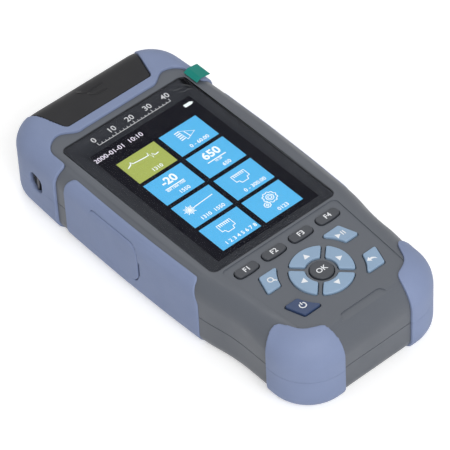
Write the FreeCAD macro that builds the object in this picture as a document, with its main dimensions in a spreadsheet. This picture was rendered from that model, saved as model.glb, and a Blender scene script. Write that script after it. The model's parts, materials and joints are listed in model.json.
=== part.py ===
import FreeCAD, Part
import math
import os
import re
import Sketcher
from FreeCAD import Placement, Rotation, Vector

# Handheld optical time domain reflectometer, lying on its back.
# X is across the case, +Y runs towards the connector end, +Z comes out of the screen.
# The origin is the middle of the footprint, at the height of the surface it lies on.

os.makedirs("parts", exist_ok=True)
doc = FreeCAD.newDocument("fibre_tester")
sheet = doc.addObject("Spreadsheet::Sheet", "Sizes")

SIZES = (
    # hard case: plan outline and heights
    ("case_length", 168.0, "hard case, end to end"),
    ("case_shift", 0.25, "Y of the hard case's middle, so that the whole tester is centred"),
    ("case_half_width", 39.3, "half width of the hard case at its widest"),
    ("bow_set", 68.25, "widest place of the bowed sides, from the connector end"),
    ("bow_radius", 900.0, "radius of the bowed sides"),
    ("top_corner", 15.0, "plan corner radius at the connector end"),
    ("low_corner", 16.5, "plan corner radius at the keypad end"),
    ("waist_set", 56.75, "where the sides begin to draw in, from the keypad end"),
    ("waist_radius", 72.0, "radius of both curves of the waist"),
    ("waist_inset", 3.9, "how far each side draws in beside the keypad"),
    ("face_height", 32.6, "height of the front face"),
    ("parting_height", 16.0, "height of the joint between the two shells"),
    ("parting_gap", 0.2, "open line between the two shells"),
    ("face_radius", 8.0, "rolled edge round the front face"),
    ("low_face_radius", 11.0, "rolled edge round the front face at the keypad end"),
    ("back_radius", 6.0, "rolled edge round the back"),
    ("wall", 2.4, "wall of both shells"),
    # rubber on the case
    ("bumper_proud", 1.0, "how far the bumpers stand off the case"),
    ("grip_proud", 0.4, "how far the side grips stand off the case"),
    ("rubber_inset", 1.1, "depth of the rubber's bed in the case"),
    ("grip_set", 38.25, "grip's upper end, from the connector end"),
    ("grip_rise", 54.3, "grip's lower end, from the keypad end"),
    ("grip_wrap", 5.7, "how far the grips reach in under the case"),
    ("grip_drop", 1.1, "left grip's upper edge below the face"),
    ("grip_corner", 4.0, "rounding of the grip's upper corner"),
    ("right_grip_drop", 4.6, "right grip's upper edge below the face"),
    ("top_bumper_edge", 23.2, "top bumper's lower edge, from the case end"),
    ("top_bumper_tip", 32.8, "top bumper's side points, from the case end"),
    ("low_bumper_edge", 20.4, "lower bumpers' upper edge, from the case end"),
    ("low_bumper_half_gap", 16.2, "half the bare width between the lower bumpers"),
    # side flap, charging socket and strap slot in the left side
    ("flap_set", 15.0, "flap's hinge edge, below the grip's upper end"),
    ("flap_length", 27.8, "flap, hinge to free end"),
    ("flap_top", 27.8, "height of the flap's upper edge"),
    ("flap_bottom", 9.0, "height of the flap's lower edge"),
    ("flap_corner", 5.0, "rounding of the flap's free end"),
    ("flap_hinge_corner", 2.5, "rounding of the flap beside its hinge"),
    ("slit_wide", 0.9, "fingernail slit beside the flap's free end"),
    ("slit_tall", 7.0, "height of that slit"),
    ("flap_thick", 1.2, "thickness of the flap"),
    ("flap_gap", 0.25, "open line round the flap"),
    ("socket_set", 14.0, "middle of the charging socket, below the flap's hinge"),
    ("socket_width", 8.9, "charging socket across"),
    ("socket_thick", 3.2, "charging socket height"),
    ("socket_depth", 7.4, "charging socket front to back"),
    ("socket_wall", 0.35, "sheet metal of the socket's shell"),
    ("strap_set", 20.65, "middle of the strap slot, from the connector end"),
    ("strap_height", 17.6, "height of the strap slot's middle"),
    ("strap_length", 7.4, "strap slot along Y"),
    ("strap_tall", 8.0, "strap slot's height"),
    ("strap_corner", 2.6, "rounding of the strap slot"),
    ("strap_depth", 5.0, "depth of the strap slot"),
    ("strap_bar_radius", 0.75, "bar across the strap slot"),
    # screen
    ("screen_set", 69.85, "middle of the cover glass, from the connector end"),
    ("glass_width", 59.4, "cover glass across"),
    ("glass_length", 87.2, "cover glass along Y"),
    ("glass_thick", 1.2, "cover glass"),
    ("glass_corner", 2.5, "corner radius of the glass"),
    ("glass_gap", 0.25, "gap round the glass"),
    ("film_margin", 0.4, "glass left bare round the protective film"),
    ("film_thick", 0.15, "protective film"),
    ("tab_reach", 8.0, "pull tab beyond the glass"),
    ("tab_width", 7.8, "pull tab along Y"),
    ("tab_thick", 0.2, "pull tab"),
    ("window_width", 51.0, "window in the case behind the glass"),
    ("window_length", 76.0, "window along Y"),
    ("display_drop", 1.65, "middle of the display module, below the middle of the glass"),
    ("display_width", 55.5, "display module across"),
    ("display_length", 84.5, "display module along Y"),
    ("display_thick", 3.4, "display module"),
    # keys
    ("keypad_set", 29.45, "middle of the cursor ring, from the keypad end"),
    ("function_rise", 18.5, "row of four function keys, above the middle of the ring"),
    ("function_pitch", 13.07, "spacing of the function keys"),
    ("function_width", 10.0, "function key across"),
    ("function_depth", 4.4, "function key along Y"),
    ("function_corner", 1.7, "function key corner radius"),
    ("function_bow", 0.5, "bow of the function key's lower edge"),
    ("ring_outer", 12.1, "cursor ring outer radius"),
    ("ring_inner", 6.1, "cursor ring inner radius"),
    ("ring_web", 1.9, "case left between two cursor keys"),
    ("enter_radius", 4.5, "round key in the ring"),
    ("wing_arc", 16.3, "hollow side of the four outer keys, about the ring's middle"),
    ("wing_corner", 0.7, "corner radius of the outer keys"),
    ("key_gap", 0.3, "gap round each key"),
    ("key_proud", 0.75, "keys above the keypad area"),
    ("key_travel", 0.6, "key travel"),
    ("key_flange", 0.5, "rim that holds each key under the face"),
    ("key_flange_thick", 0.8, "thickness of that rim"),
    ("key_flange_play", 0.05, "rim below the face's inner side"),
    ("key_round", 0.35, "rounded top edge of the keys"),
    ("dome_radius", 1.4, "rubber dome under each key"),
    ("dome_tall", 0.7, "rubber dome"),
    ("dome_play", 0.05, "dome below a fully pressed key"),
    ("mat_thick", 0.8, "keypad mat"),
    ("board_thick", 1.6, "circuit boards"),
    # keypad area, a little lower than the face, and the recess at the keypad end
    ("keypad_drop", 0.5, "keypad area below the face"),
    ("keypad_ledge", 1.4, "keypad area's upper edge, below the glass"),
    ("keypad_high_half", 27.8, "half width of the keypad area at its upper edge"),
    ("keypad_taper", 0.075, "narrowing of each side per mm towards the end"),
    ("keypad_corner", 2.0, "rounding of the keypad area's upper corners"),
    ("low_recess_half", 9.3, "half width of the recess at its upper edge"),
    ("low_recess_flare", 0.5, "widening of the recess per mm towards the end"),
    ("low_recess_edge", 9.5, "recess's upper edge, from the case end"),
    ("low_recess_depth", 0.6, "depth of the recess"),
    ("low_recess_corner", 2.0, "rounding of the recess's upper corners"),
    # dust cover and connector bay
    ("cover_near_half", 20.6, "half width of the cover's near edge"),
    ("cover_far_half", 26.5, "half width of the cover at the case end"),
    ("cover_near", 18.6, "cover's near edge, from the case end"),
    ("cover_corner", 1.5, "corner radius of the cover's near edge"),
    ("cover_gap", 0.4, "gap round the cover"),
    ("cover_proud", 0.5, "how far the cover stands off the case"),
    ("cover_thick", 2.3, "wall of the cover"),
    ("mark_depth", 0.35, "depth of the marks in the cover"),
    ("mark_width", 1.1, "width of those marks, along Y"),
    ("hinge_inset", 2.2, "cover pivot, in from the case end"),
    ("hinge_height", 5.2, "height of the cover pivot"),
    ("hinge_barrel", 2.1, "radius of the cover's hinge barrel"),
    ("pin_radius", 0.9, "steel hinge pins"),
    ("pin_play", 0.05, "running clearance on a hinge pin"),
    ("pin_seat", 1.4, "length of each pin end in the case"),
    ("liner", 1.8, "wall round the connector bay"),
    ("bay_wall", 13.3, "front of the wall behind the connectors, from the case end"),
    ("bay_floor", 4.0, "height of the connector bay's floor"),
    ("panel_thick", 2.0, "connector panel"),
    ("panel_half", 23.4, "half width of the connector panel"),
    ("panel_tall", 24.6, "height of the connector panel"),
    ("port_height", 17.0, "height of the connectors' axes"),
    ("ferrule_radius", 1.25, "connector ferrule bore"),
    ("otdr_x", -16.4, "X of the OTDR connector"),
    ("meter_x", -6.3, "X of the power meter connector"),
    ("locator_x", 1.7, "X of the visible laser connector"),
    ("jack_x", 13.35, "X of the network cable jack"),
    ("jack_width", 15.9, "network jack across"),
    ("jack_tall", 13.5, "network jack height"),
    ("jack_length", 16.0, "network jack along Y"),
    ("jack_mouth_width", 11.7, "opening of the network jack"),
    ("jack_mouth_tall", 7.9, "opening of the network jack, height"),
    ("jack_mouth_depth", 12.0, "depth of the network jack"),
    # tilt stand in the back
    ("stand_set", 38.25, "tilt stand's pin, from the connector end"),
    ("stand_length", 56.0, "tilt stand, pin to free end"),
    ("stand_half_width", 21.0, "half width of the tilt stand"),
    ("stand_thick", 2.2, "tilt stand"),
    ("stand_gap", 0.5, "gap round the tilt stand"),
    ("stand_corner", 5.0, "rounding of the stand's free end"),
    ("stand_roof", 1.8, "case wall over the stand"),
    ("stand_barrel", 1.5, "radius of the stand's hinge barrel"),
    ("stand_pin_height", 2.4, "height of the stand's pin"),
    ("stand_pin_radius", 0.75, "pin of the tilt stand"),
    # inside
    ("boss_radius", 2.6, "screw bosses"),
    ("screw_radius", 1.25, "case screws"),
    ("screw_head", 2.0, "case screw heads"),
    ("screw_head_tall", 1.8, "case screw heads, height"),
    ("screw_sink", 5.5, "depth of the screw heads in the back"),
    ("pilot_depth", 9.0, "depth of the case screws' pilot holes"),
    ("boss_inset", 8.7, "upper and middle case screws, in from the case's side"),
    ("boss_high_set", 36.65, "upper case screws, from the connector end"),
    ("boss_middle_set", 61.75, "middle case screws, from the keypad end"),
    ("boss_low_inset", 3.6, "lower case screws, in from the lower bumpers"),
    ("boss_low_set", 8.35, "lower case screws, from the keypad end"),
    ("post_radius", 1.9, "posts that carry the boards"),
    ("board_screw_radius", 0.8, "board screws"),
    ("board_screw_head", 1.6, "board screw heads"),
    ("main_post_inset", 9.1, "main board's posts, in from the case's side"),
    ("main_post_high_set", 42.25, "main board's upper posts, from the connector end"),
    ("main_post_low_set", 71.75, "main board's lower posts, from the keypad end"),
    ("main_board_inset", 6.9, "main board's edges, in from the case's sides"),
    ("main_board_high_set", 26.25, "main board's upper edge, from the connector end"),
    ("main_board_low_set", 55.75, "main board's lower edge, from the keypad end"),
    ("key_post_inset", 7.4, "key board's posts, in from the waist"),
    ("key_post_rise", 17.3, "key board's upper posts, above the middle of the ring"),
    ("key_post_drop", 7.7, "key board's lower posts, below the middle of the ring"),
    ("key_board_inset", 6.0, "key board's edges, in from the waist"),
    ("key_board_rise", 23.3, "key board's upper edge, above the middle of the ring"),
    ("key_board_drop", 14.2, "key board's lower edge, below the middle of the ring"),
    ("battery_radius", 9.2, "one round cell of the battery"),
    ("battery_length", 67.0, "battery along Y"),
    ("tray_wall", 1.4, "ribs that hold the battery"),
    ("battery_set", 39.75, "battery's lower end, from the keypad end"),
    ("optics_half", 27.0, "half width of the optical module"),
    ("optics_set", 53.25, "optical module's lower end, from the connector end"),
    ("optics_length", 25.0, "optical module along Y"),
    ("optics_thick", 12.0, "optical module height"),
    ("coil_outer", 15.0, "outer radius of the fibre spool"),
    ("coil_inner", 10.0, "hub radius of the fibre spool"),
    ("coil_tall", 4.0, "fibre spool height"),
    ("buzzer_radius", 4.5, "buzzer"),
    ("buzzer_tall", 3.5, "buzzer height"),
)

# What follows from the sizes: places along the case and across it, worked out in the spreadsheet.
PLACES = (
    ("far_end", "case_shift + case_length / 2", "Y of the case's connector end"),
    ("near_end", "case_shift - case_length / 2", "Y of the case's keypad end"),
    ("waist_half_width", "case_half_width - waist_inset", "half width beside the keypad"),
    ("bow_centre", "far_end - bow_set", "Y of the widest place"),
    ("waist_start", "near_end + waist_set", "Y where the sides begin to draw in"),
    ("grip_top", "far_end - grip_set", "Y of the grips' upper ends"),
    ("grip_low", "near_end + grip_rise", "Y of the grips' lower ends"),
    ("flap_hinge", "grip_top - flap_set", "Y of the flap's hinge edge"),
    ("flap_free_end", "flap_hinge - flap_length", "Y of the flap's free end"),
    ("socket_middle", "flap_hinge - socket_set", "Y of the charging socket"),
    ("strap_middle", "far_end - strap_set", "Y of the strap slot"),
    ("screen_middle", "far_end - screen_set", "Y of the middle of the glass"),
    ("display_middle", "screen_middle - display_drop", "Y of the middle of the display module"),
    ("keypad_middle", "near_end + keypad_set", "Y of the middle of the cursor ring"),
    ("function_row", "keypad_middle + function_rise", "Y of the function keys"),
    ("bay_back", "far_end - bay_wall", "Y of the wall behind the connectors"),
    ("panel_front", "bay_back + panel_thick", "Y of the connector panel's front"),
    ("pivot", "far_end - hinge_inset", "Y of the cover's pivot"),
    ("stand_hinge", "far_end - stand_set", "Y of the tilt stand's pin"),
    ("stand_top", "bumper_proud + stand_thick + 2 * stand_gap", "height of the room for the stand"),
    ("floor_top", "stand_top + stand_roof", "height of the floor inside the back"),
    ("boss_x", "case_half_width - boss_inset", "X of the upper and middle case screws"),
    ("boss_high", "far_end - boss_high_set", "Y of the upper case screws"),
    ("boss_middle", "near_end + boss_middle_set", "Y of the middle case screws"),
    ("boss_low_x", "low_bumper_half_gap - boss_low_inset", "X of the lower case screws"),
    ("boss_low", "near_end + boss_low_set", "Y of the lower case screws"),
    ("main_post_x", "case_half_width - main_post_inset", "X of the main board's posts"),
    ("main_post_high", "far_end - main_post_high_set", "Y of the main board's upper posts"),
    ("main_post_low", "near_end + main_post_low_set", "Y of the main board's lower posts"),
    ("main_board_half", "case_half_width - main_board_inset", "half width of the main board"),
    ("main_board_high", "far_end - main_board_high_set", "Y of the main board's upper edge"),
    ("main_board_low", "near_end + main_board_low_set", "Y of the main board's lower edge"),
    ("key_post_x", "waist_half_width - key_post_inset", "X of the key board's posts"),
    ("key_post_high", "keypad_middle + key_post_rise", "Y of the key board's upper posts"),
    ("key_post_low", "keypad_middle - key_post_drop", "Y of the key board's lower posts"),
    ("key_board_half", "waist_half_width - key_board_inset", "half width of the key board"),
    ("key_board_high", "keypad_middle + key_board_rise", "Y of the key board's upper edge"),
    ("key_board_low", "keypad_middle - key_board_drop", "Y of the key board's lower edge"),
    ("battery_low", "near_end + battery_set", "Y of the battery's lower end"),
    ("optics_low", "far_end - optics_set", "Y of the optical module's lower end"),
    ("inner_face", "face_height - wall", "height of the inner side of the face"),
    ("main_top", "inner_face - display_thick", "height of the main board's upper side"),
    ("main_bottom", "main_top - board_thick", "height of the main board's underside"),
    ("keypad_high", "screen_middle - glass_length / 2 - keypad_ledge", "Y of the keypad area's upper edge"),
    ("keypad_floor", "face_height - keypad_drop", "height of the keypad area"),
    ("key_top", "keypad_floor + key_proud", "height of the keys"),
    ("key_bottom", "inner_face - key_flange_play - key_flange_thick", "height of the keys' undersides"),
    ("mat_top", "key_bottom - key_travel - dome_play - dome_tall", "height of the keypad mat"),
    ("mat_bottom", "mat_top - mat_thick", "height of the mat's underside"),
    ("socket_low", "main_bottom - socket_thick", "height of the charging socket's underside"),
)

for row, (alias, value, meaning) in enumerate(SIZES + PLACES, start=1):
    sheet.set(f"A{row}", meaning)
    sheet.set(f"B{row}", str(value) if isinstance(value, float) else f"={value}")
    sheet.setAlias(f"B{row}", alias)
doc.recompute()

NAMES = sorted((entry[0] for entry in SIZES + PLACES), key=len, reverse=True)
ALIASES = re.compile(r"\b(" + "|".join(NAMES) + r")\b")
UP = Vector(0, 0, 1)
ALONG_X = Rotation(Vector(0, 1, 0), 90)
ALONG_Y = Rotation(Vector(1, 0, 0), -90)
ALONG_Z = Rotation()
CLEAR = 5.0  # how far cutting tools run past the case
nodes = {}


def size(alias):
    """A driving dimension, read from the spreadsheet."""
    return float(sheet.get(alias))


def bound(text):
    """An expression over the spreadsheet's aliases."""
    return ALIASES.sub(r"Sizes.\1", str(text))


def bind(item, **properties):
    for name, text in properties.items():
        item.setExpression(name, bound(text))


def place(item, x=0, y=0, z=0, turn=ALONG_Z):
    item.Placement = Placement(Vector(), turn)
    for axis, text in zip("xyz", (x, y, z)):
        item.setExpression(f"Placement.Base.{axis}", bound(text))
    return item


def value_of(text):
    """The number that an expression over the aliases gives now."""
    probe = doc.getObject("probe") or doc.addObject("App::FeaturePython", "probe")
    if "reading" not in probe.PropertiesList:
        probe.addProperty("App::PropertyFloat", "reading")
    probe.setExpression("reading", bound(text))
    probe.recompute()
    return probe.reading


def feature(name, shape):
    """A shape made by Part's own functions, from the spreadsheet's sizes."""
    item = doc.addObject("Part::Feature", name)
    item.Shape = shape
    return item


def box(name, dx, dy, dz, x=0, y=0, z=0):
    """A box of dx by dy by dz, centred on x, with its lowest corner at y and z."""
    item = doc.addObject("Part::Box", name)
    bind(item, Length=dx, Width=dy, Height=dz)
    return place(item, f"({x}) - ({dx}) / 2", y, z)


def rod(name, radius, length, x=0, y=0, z=0, turn=ALONG_Z):
    item = doc.addObject("Part::Cylinder", name)
    bind(item, Radius=radius, Height=length)
    return place(item, x, y, z, turn)


def prism(name, wire, low, tall):
    """A plan outline carried up from height low."""
    outline = feature(name + "_outline", wire)
    place(outline, z=low)
    item = doc.addObject("Part::Extrusion", name)
    item.Base = outline
    item.DirMode = "Custom"
    item.Dir = UP
    item.Solid = True
    bind(item, LengthFwd=tall)
    return item


def column(name, wire):
    """A plan outline carried through the whole height of the case and past it."""
    return prism(name, wire, -CLEAR, f"face_height + {2 * CLEAR}")


def fuse(name, *items):
    item = doc.addObject("Part::MultiFuse", name)
    item.Shapes = list(items)
    item.Refine = True
    return item


def common(name, *items):
    item = doc.addObject("Part::MultiCommon", name)
    item.Shapes = list(items)
    return item


def cut(name, base, *tools):
    item = doc.addObject("Part::Cut", name)
    item.Base = base
    item.Tool = tools[0] if len(tools) == 1 else fuse(name + "_tools", *tools)
    return item


def group(name, items):
    item = doc.addObject("Part::Compound", name)
    item.Links = items
    return item


def node(name, item):
    """Marks a finished piece: its label names its file."""
    item.Label = name
    nodes[name] = item
    return item


# ---------------------------------------------------------------- PartDesign bodies

def new_body(name):
    return doc.addObject("PartDesign::Body", name + "_body")


def origin_plane(body, role):
    return next(item for item in body.Origin.OriginFeatures if item.Role == role)


def new_sketch(body, name, role="XY_Plane"):
    sketch = body.newObject("Sketcher::SketchObject", name)
    sketch.AttachmentSupport = [(origin_plane(body, role), "")]
    sketch.MapMode = "FlatFace"
    return sketch


def draw_rectangle(sketch, width, depth):
    """A rectangle centred on the sketch's origin, with both sides bound."""
    half_x, half_y = value_of(width) / 2, value_of(depth) / 2
    corners = [Vector(-half_x, -half_y), Vector(half_x, -half_y), Vector(half_x, half_y), Vector(-half_x, half_y)]
    for start, end in zip(corners, corners[1:] + corners[:1]):
        sketch.addGeometry(Part.LineSegment(start, end))
    for line in range(4):
        sketch.addConstraint(Sketcher.Constraint("Coincident", line, 2, (line + 1) % 4, 1))
    for line, kind in enumerate(("Horizontal", "Vertical", "Horizontal", "Vertical")):
        sketch.addConstraint(Sketcher.Constraint(kind, line))
    sketch.addConstraint(Sketcher.Constraint("Symmetric", 0, 1, 2, 1, -1, 1))
    across = sketch.addConstraint(Sketcher.Constraint("DistanceX", 0, 1, 0, 2, 2 * half_x))
    along = sketch.addConstraint(Sketcher.Constraint("DistanceY", 1, 1, 1, 2, 2 * half_y))
    sketch.renameConstraint(across, "width")
    sketch.renameConstraint(along, "depth")
    sketch.setExpression("Constraints.width", bound(width))
    sketch.setExpression("Constraints.depth", bound(depth))


def draw_circle(sketch, radius, x, y, label):
    """A circle at x, y from the sketch's origin, all three bound."""
    place_x, place_y = value_of(x), value_of(y)
    circle = sketch.addGeometry(Part.Circle(Vector(place_x, place_y), UP, value_of(radius)))
    named = {
        "radius": (Sketcher.Constraint("Radius", circle, value_of(radius)), radius),
        "across": (Sketcher.Constraint("DistanceX", -1, 1, circle, 3, place_x), x),
        "along": (Sketcher.Constraint("DistanceY", -1, 1, circle, 3, place_y), y),
    }
    for word, (constraint, text) in named.items():
        index = sketch.addConstraint(constraint)
        sketch.renameConstraint(index, f"{label}_{word}")
        sketch.setExpression(f"Constraints.{label}_{word}", bound(text))


def pad(body, sketch, thick):
    item = body.newObject("PartDesign::Pad", sketch.Name + "_pad")
    item.Profile = sketch
    bind(item, Length=thick)
    return item


def drill(body, sketch):
    """Cuts a sketch through everything above its plane, and makes sure that it cut."""
    doc.recompute()
    before = body.Shape.Volume
    item = body.newObject("PartDesign::Pocket", sketch.Name + "_cut")
    item.Profile = sketch
    item.Type = "ThroughAll"
    item.Reversed = True
    doc.recompute()
    if body.Shape.Volume >= before:
        raise RuntimeError(f"{sketch.Name} cuts nothing")
    return item


def round_uprights(body, base, radius):
    """Rounds the upright edges of a pad."""
    doc.recompute()
    upright = [
        f"Edge{number}"
        for number, edge in enumerate(base.Shape.Edges, start=1)
        if abs(edge.tangentAt(edge.FirstParameter).z) > 0.99
    ]
    item = body.newObject("PartDesign::Fillet", base.Name + "_round")
    item.Base = (base, upright)
    bind(item, Radius=radius)
    return item


def plate(name, width, depth, thick, x=0, y=0, z=0, corner=None, holes=()):
    """A plate centred on x, y with its underside at z, with round holes given from its middle."""
    body = new_body(name)
    sketch = new_sketch(body, name + "_sketch")
    draw_rectangle(sketch, width, depth)
    slab = pad(body, sketch, thick)
    if corner is not None:
        round_uprights(body, slab, corner)
    if holes:
        pattern = new_sketch(body, name + "_holes")
        for number, (radius, hole_x, hole_y) in enumerate(holes):
            draw_circle(pattern, radius, hole_x, hole_y, f"hole{number}")
        drill(body, pattern)
    return place(body, x, y, z)


# ---------------------------------------------------------------- the case's form

def arc(centre, radius, start, end):
    """An arc about centre, angles in radians."""
    spots = [
        centre + Vector(radius * math.cos(angle), radius * math.sin(angle))
        for angle in (start, (start + end) / 2, end)
    ]
    return Part.Arc(*spots).toShape()


def line(start, end):
    return Part.LineSegment(start, end).toShape()


def mirrored(shape):
    return shape.mirror(Vector(), Vector(1, 0, 0))


def case_outline(grow):
    """The plan of the case, grown outwards by grow: bowed sides that draw in to a waist."""
    far, near = size("far_end"), size("near_end")
    bow_radius, corner, low_corner = size("bow_radius"), size("top_corner"), size("low_corner")
    waist, bend = size("waist_half_width"), size("waist_radius")
    bow = Vector(size("case_half_width") - bow_radius, size("bow_centre"))
    corner_y = far - corner
    corner_x = bow.x + math.sqrt((bow_radius - corner) ** 2 - (corner_y - bow.y) ** 2)
    top = Vector(corner_x, corner_y)
    bow_start = math.atan2(top.y - bow.y, top.x - bow.x)
    bow_end = math.asin((size("waist_start") - bow.y) / bow_radius)
    shoulder = bow + Vector(math.cos(bow_end), math.sin(bow_end)) * (bow_radius - bend)
    hollow_x = waist + bend
    hollow = Vector(hollow_x, shoulder.y - math.sqrt(4 * bend ** 2 - (hollow_x - shoulder.x) ** 2))
    turn = math.atan2(hollow.y - shoulder.y, hollow.x - shoulder.x)
    low = Vector(waist - low_corner, low_corner + near)
    right = [
        arc(top, corner + grow, math.pi / 2, bow_start),
        arc(bow, bow_radius + grow, bow_start, bow_end),
        arc(shoulder, bend + grow, bow_end, turn),
        arc(hollow, bend - grow, turn + math.pi, math.pi),
        line(Vector(waist + grow, hollow.y), Vector(waist + grow, low.y)),
        arc(low, low_corner + grow, 0, -math.pi / 2),
    ]
    ends = [
        line(Vector(-top.x, far + grow), Vector(top.x, far + grow)),
        line(Vector(-low.x, near - grow), Vector(low.x, near - grow)),
    ]
    return Part.Wire(Part.__sortEdges__(right + [mirrored(edge) for edge in right] + ends))


def case_form(name, grow):
    """The closed form of the case, grown outwards by grow; its front edge rolls wider at the keypad end."""
    low = size("bumper_proud") - grow
    high = size("face_height") + grow
    block = Part.Face(case_outline(grow)).extrude(UP * (high - low))
    block.translate(UP * low)
    corner_end = size("near_end") + size("low_corner") + 0.01
    back = size("back_radius") + grow
    rolls = []
    for number, edge in enumerate(block.Edges, start=1):
        levels = [vertex.Z for vertex in edge.Vertexes]
        if all(abs(z - low) < 1e-6 for z in levels):
            rolls.append((number, back, back))
        elif all(abs(z - high) < 1e-6 for z in levels):
            rolls.append((number, *(
                size("low_face_radius" if vertex.Y < corner_end else "face_radius") + grow
                for vertex in edge.Vertexes
            )))
    item = doc.addObject("Part::Fillet", name)
    item.Base = feature(name + "_block", block)
    item.Edges = rolls
    doc.recompute()
    return item


def joined(points):
    """Straight lines from point to point and back to the first."""
    spots = [Vector(*point) for point in points]
    return Part.makePolygon(spots + spots[:1])


def shifted(wire, x, y):
    """The same flat outline, moved in plan."""
    move = FreeCAD.Matrix()
    move.move(Vector(x, y, 0))
    return wire.transformed(move, True)


def turned(wire, degrees):
    """The same flat outline, turned about the origin."""
    turn = FreeCAD.Matrix()
    turn.rotateZ(math.radians(degrees))
    return wire.transformed(turn, True)


def smooth(points):
    """One smooth curve through the points."""
    curve = Part.BSplineCurve()
    curve.interpolate([Vector(*point) for point in points])
    return curve.toShape()


def rounded(wire, radius):
    """The same flat outline with its convex corners rounded."""
    return wire.makeOffset2D(-radius).makeOffset2D(radius)


def grown(wire, by):
    return wire.makeOffset2D(by)


def side_prism(name, wire_yz, reach_from, reach_to):
    """An outline drawn in Y and height, carried across the case from one X to another."""
    face = Part.Face(wire_yz)
    solid = face.extrude(Vector(reach_to - reach_from, 0, 0))
    solid.translate(Vector(reach_from, 0, 0))
    return feature(name, solid)


# ---------------------------------------------------------------- outlines of the rubber

def top_bumper_plan():
    """Plan of the top bumper: a wavy lower edge with a point on each side."""
    end, side = size("far_end"), size("case_half_width")
    edge, tip = end - size("top_bumper_edge"), end - size("top_bumper_tip")
    past = side + CLEAR
    wave = [
        (-20.5, edge + 0.8), (-25.3, edge + 3.6), (-29.3, edge + 2.6),
        (6.4 - side, edge - 1.2), (6.0 - side, tip + 3.4), (5.9 - side, tip + 0.6),
    ]
    left = [
        smooth([(-16.0, edge), *wave]),
        Part.Arc(Vector(5.9 - side, tip + 0.6), Vector(5.5 - side, tip - 0.5), Vector(4.6 - side, tip - 0.9)).toShape(),
        line(Vector(4.6 - side, tip - 0.9), Vector(-past, tip + 0.8)),
        line(Vector(-past, tip + 0.8), Vector(-past, end + CLEAR)),
    ]
    middle = [
        line(Vector(-16.0, edge), Vector(16.0, edge)),
        line(Vector(-past, end + CLEAR), Vector(past, end + CLEAR)),
    ]
    return Part.Wire(Part.__sortEdges__(left + [mirrored(item) for item in left] + middle))


def low_bumper_plan(hand):
    """Plan of one lower bumper; hand is -1 on the left and 1 on the right."""
    end, side, gap = size("near_end"), size("waist_half_width"), size("low_bumper_half_gap")
    edge = end + size("low_bumper_edge")
    past = side + 2 * CLEAR
    wave = [
        (past, edge + 0.3), (side - 0.8, edge + 0.1), (side - 5.3, edge + 0.9), (side - 7.9, edge - 2.4),
        (side - 10.6, edge - 7.6), (gap + 4.4, edge - 10.2), (gap + 1.9, edge - 11.6),
        (gap + 0.6, edge - 15.0), (gap, edge - 19.6), (gap, end - CLEAR),
    ]
    upper = smooth([(hand * x, y) for x, y in wave])
    corner = Vector(hand * past, end - CLEAR)
    closing = [line(Vector(hand * gap, end - CLEAR), corner), line(corner, Vector(hand * past, edge + 0.3))]
    return Part.Wire(Part.__sortEdges__([upper] + closing))


def grip_side(drop):
    """Side view of a grip, in Y and height: rounded above, cut back at its lower end."""
    high = size("face_height") - size(drop)
    top, low, corner = size("grip_top"), size("grip_low"), size("grip_corner")
    under = -CLEAR
    lean = 3.0
    outline = [
        line(Vector(0, top, under), Vector(0, top, high - corner)),
        Part.Arc(
            Vector(0, top, high - corner),
            Vector(0, top - corner * (1 - math.sqrt(0.5)), high - corner * (1 - math.sqrt(0.5))),
            Vector(0, top - corner, high),
        ).toShape(),
        line(Vector(0, top - corner, high), Vector(0, low + lean + 1.5, high)),
        Part.Arc(
            Vector(0, low + lean + 1.5, high),
            Vector(0, low + lean + 0.3, high - 0.6),
            Vector(0, low + lean - 0.2, high - 2.0),
        ).toShape(),
        line(Vector(0, low + lean - 0.2, high - 2.0), Vector(0, low, high - 9.0)),
        line(Vector(0, low, high - 9.0), Vector(0, low, under)),
        line(Vector(0, low, under), Vector(0, top, under)),
    ]
    return Part.Wire(Part.__sortEdges__(outline))


def flap_side(grow):
    """Side view of the flap in the left grip, in Y and height: rounder at its free end."""
    hinge, free = size("flap_hinge") + grow, size("flap_free_end") - grow
    high, low = size("flap_top") + grow, size("flap_bottom") - grow
    rounds = {free: size("flap_corner") + grow, hinge: size("flap_hinge_corner") + grow}
    edges = []
    for y, level in ((free, low), (free, high), (hinge, high), (hinge, low)):
        bend = rounds[y]
        into_y = 1 if y == free else -1
        into_z = 1 if level == low else -1
        inset = bend * (1 - math.sqrt(0.5))
        edges.append(Part.Arc(
            Vector(0, y + into_y * bend, level),
            Vector(0, y + into_y * inset, level + into_z * inset),
            Vector(0, y, level + into_z * bend),
        ).toShape())
    for y, bend in rounds.items():
        edges.append(line(Vector(0, y, low + bend), Vector(0, y, high - bend)))
    for level in (low, high):
        edges.append(line(Vector(0, free + rounds[free], level), Vector(0, hinge - rounds[hinge], level)))
    return Part.Wire(Part.__sortEdges__(edges))


def strap_side():
    """Side view of the strap slot, in Y and height."""
    half_y, half_z = size("strap_length") / 2, size("strap_tall") / 2
    middle = Vector(0, size("strap_middle"), size("strap_height"))
    wire = joined([
        (0, middle.y - half_y, middle.z - half_z), (0, middle.y + half_y, middle.z - half_z),
        (0, middle.y + half_y, middle.z + half_z), (0, middle.y - half_y, middle.z + half_z),
    ])
    return rounded(wire, size("strap_corner"))


def cover_plan(grow):
    """Plan of the dust cover: it widens towards the case end and runs past it."""
    end = size("far_end")
    near = end - size("cover_near")
    far = end + CLEAR
    slope = (size("cover_far_half") - size("cover_near_half")) / size("cover_near")
    near_half = size("cover_near_half")
    far_half = near_half + slope * (far - near)
    wire = joined([(-near_half, near), (near_half, near), (far_half, far), (-far_half, far)])
    wire = rounded(wire, size("cover_corner"))
    return grown(wire, grow) if grow else wire


# ---------------------------------------------------------------- helper solids

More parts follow.
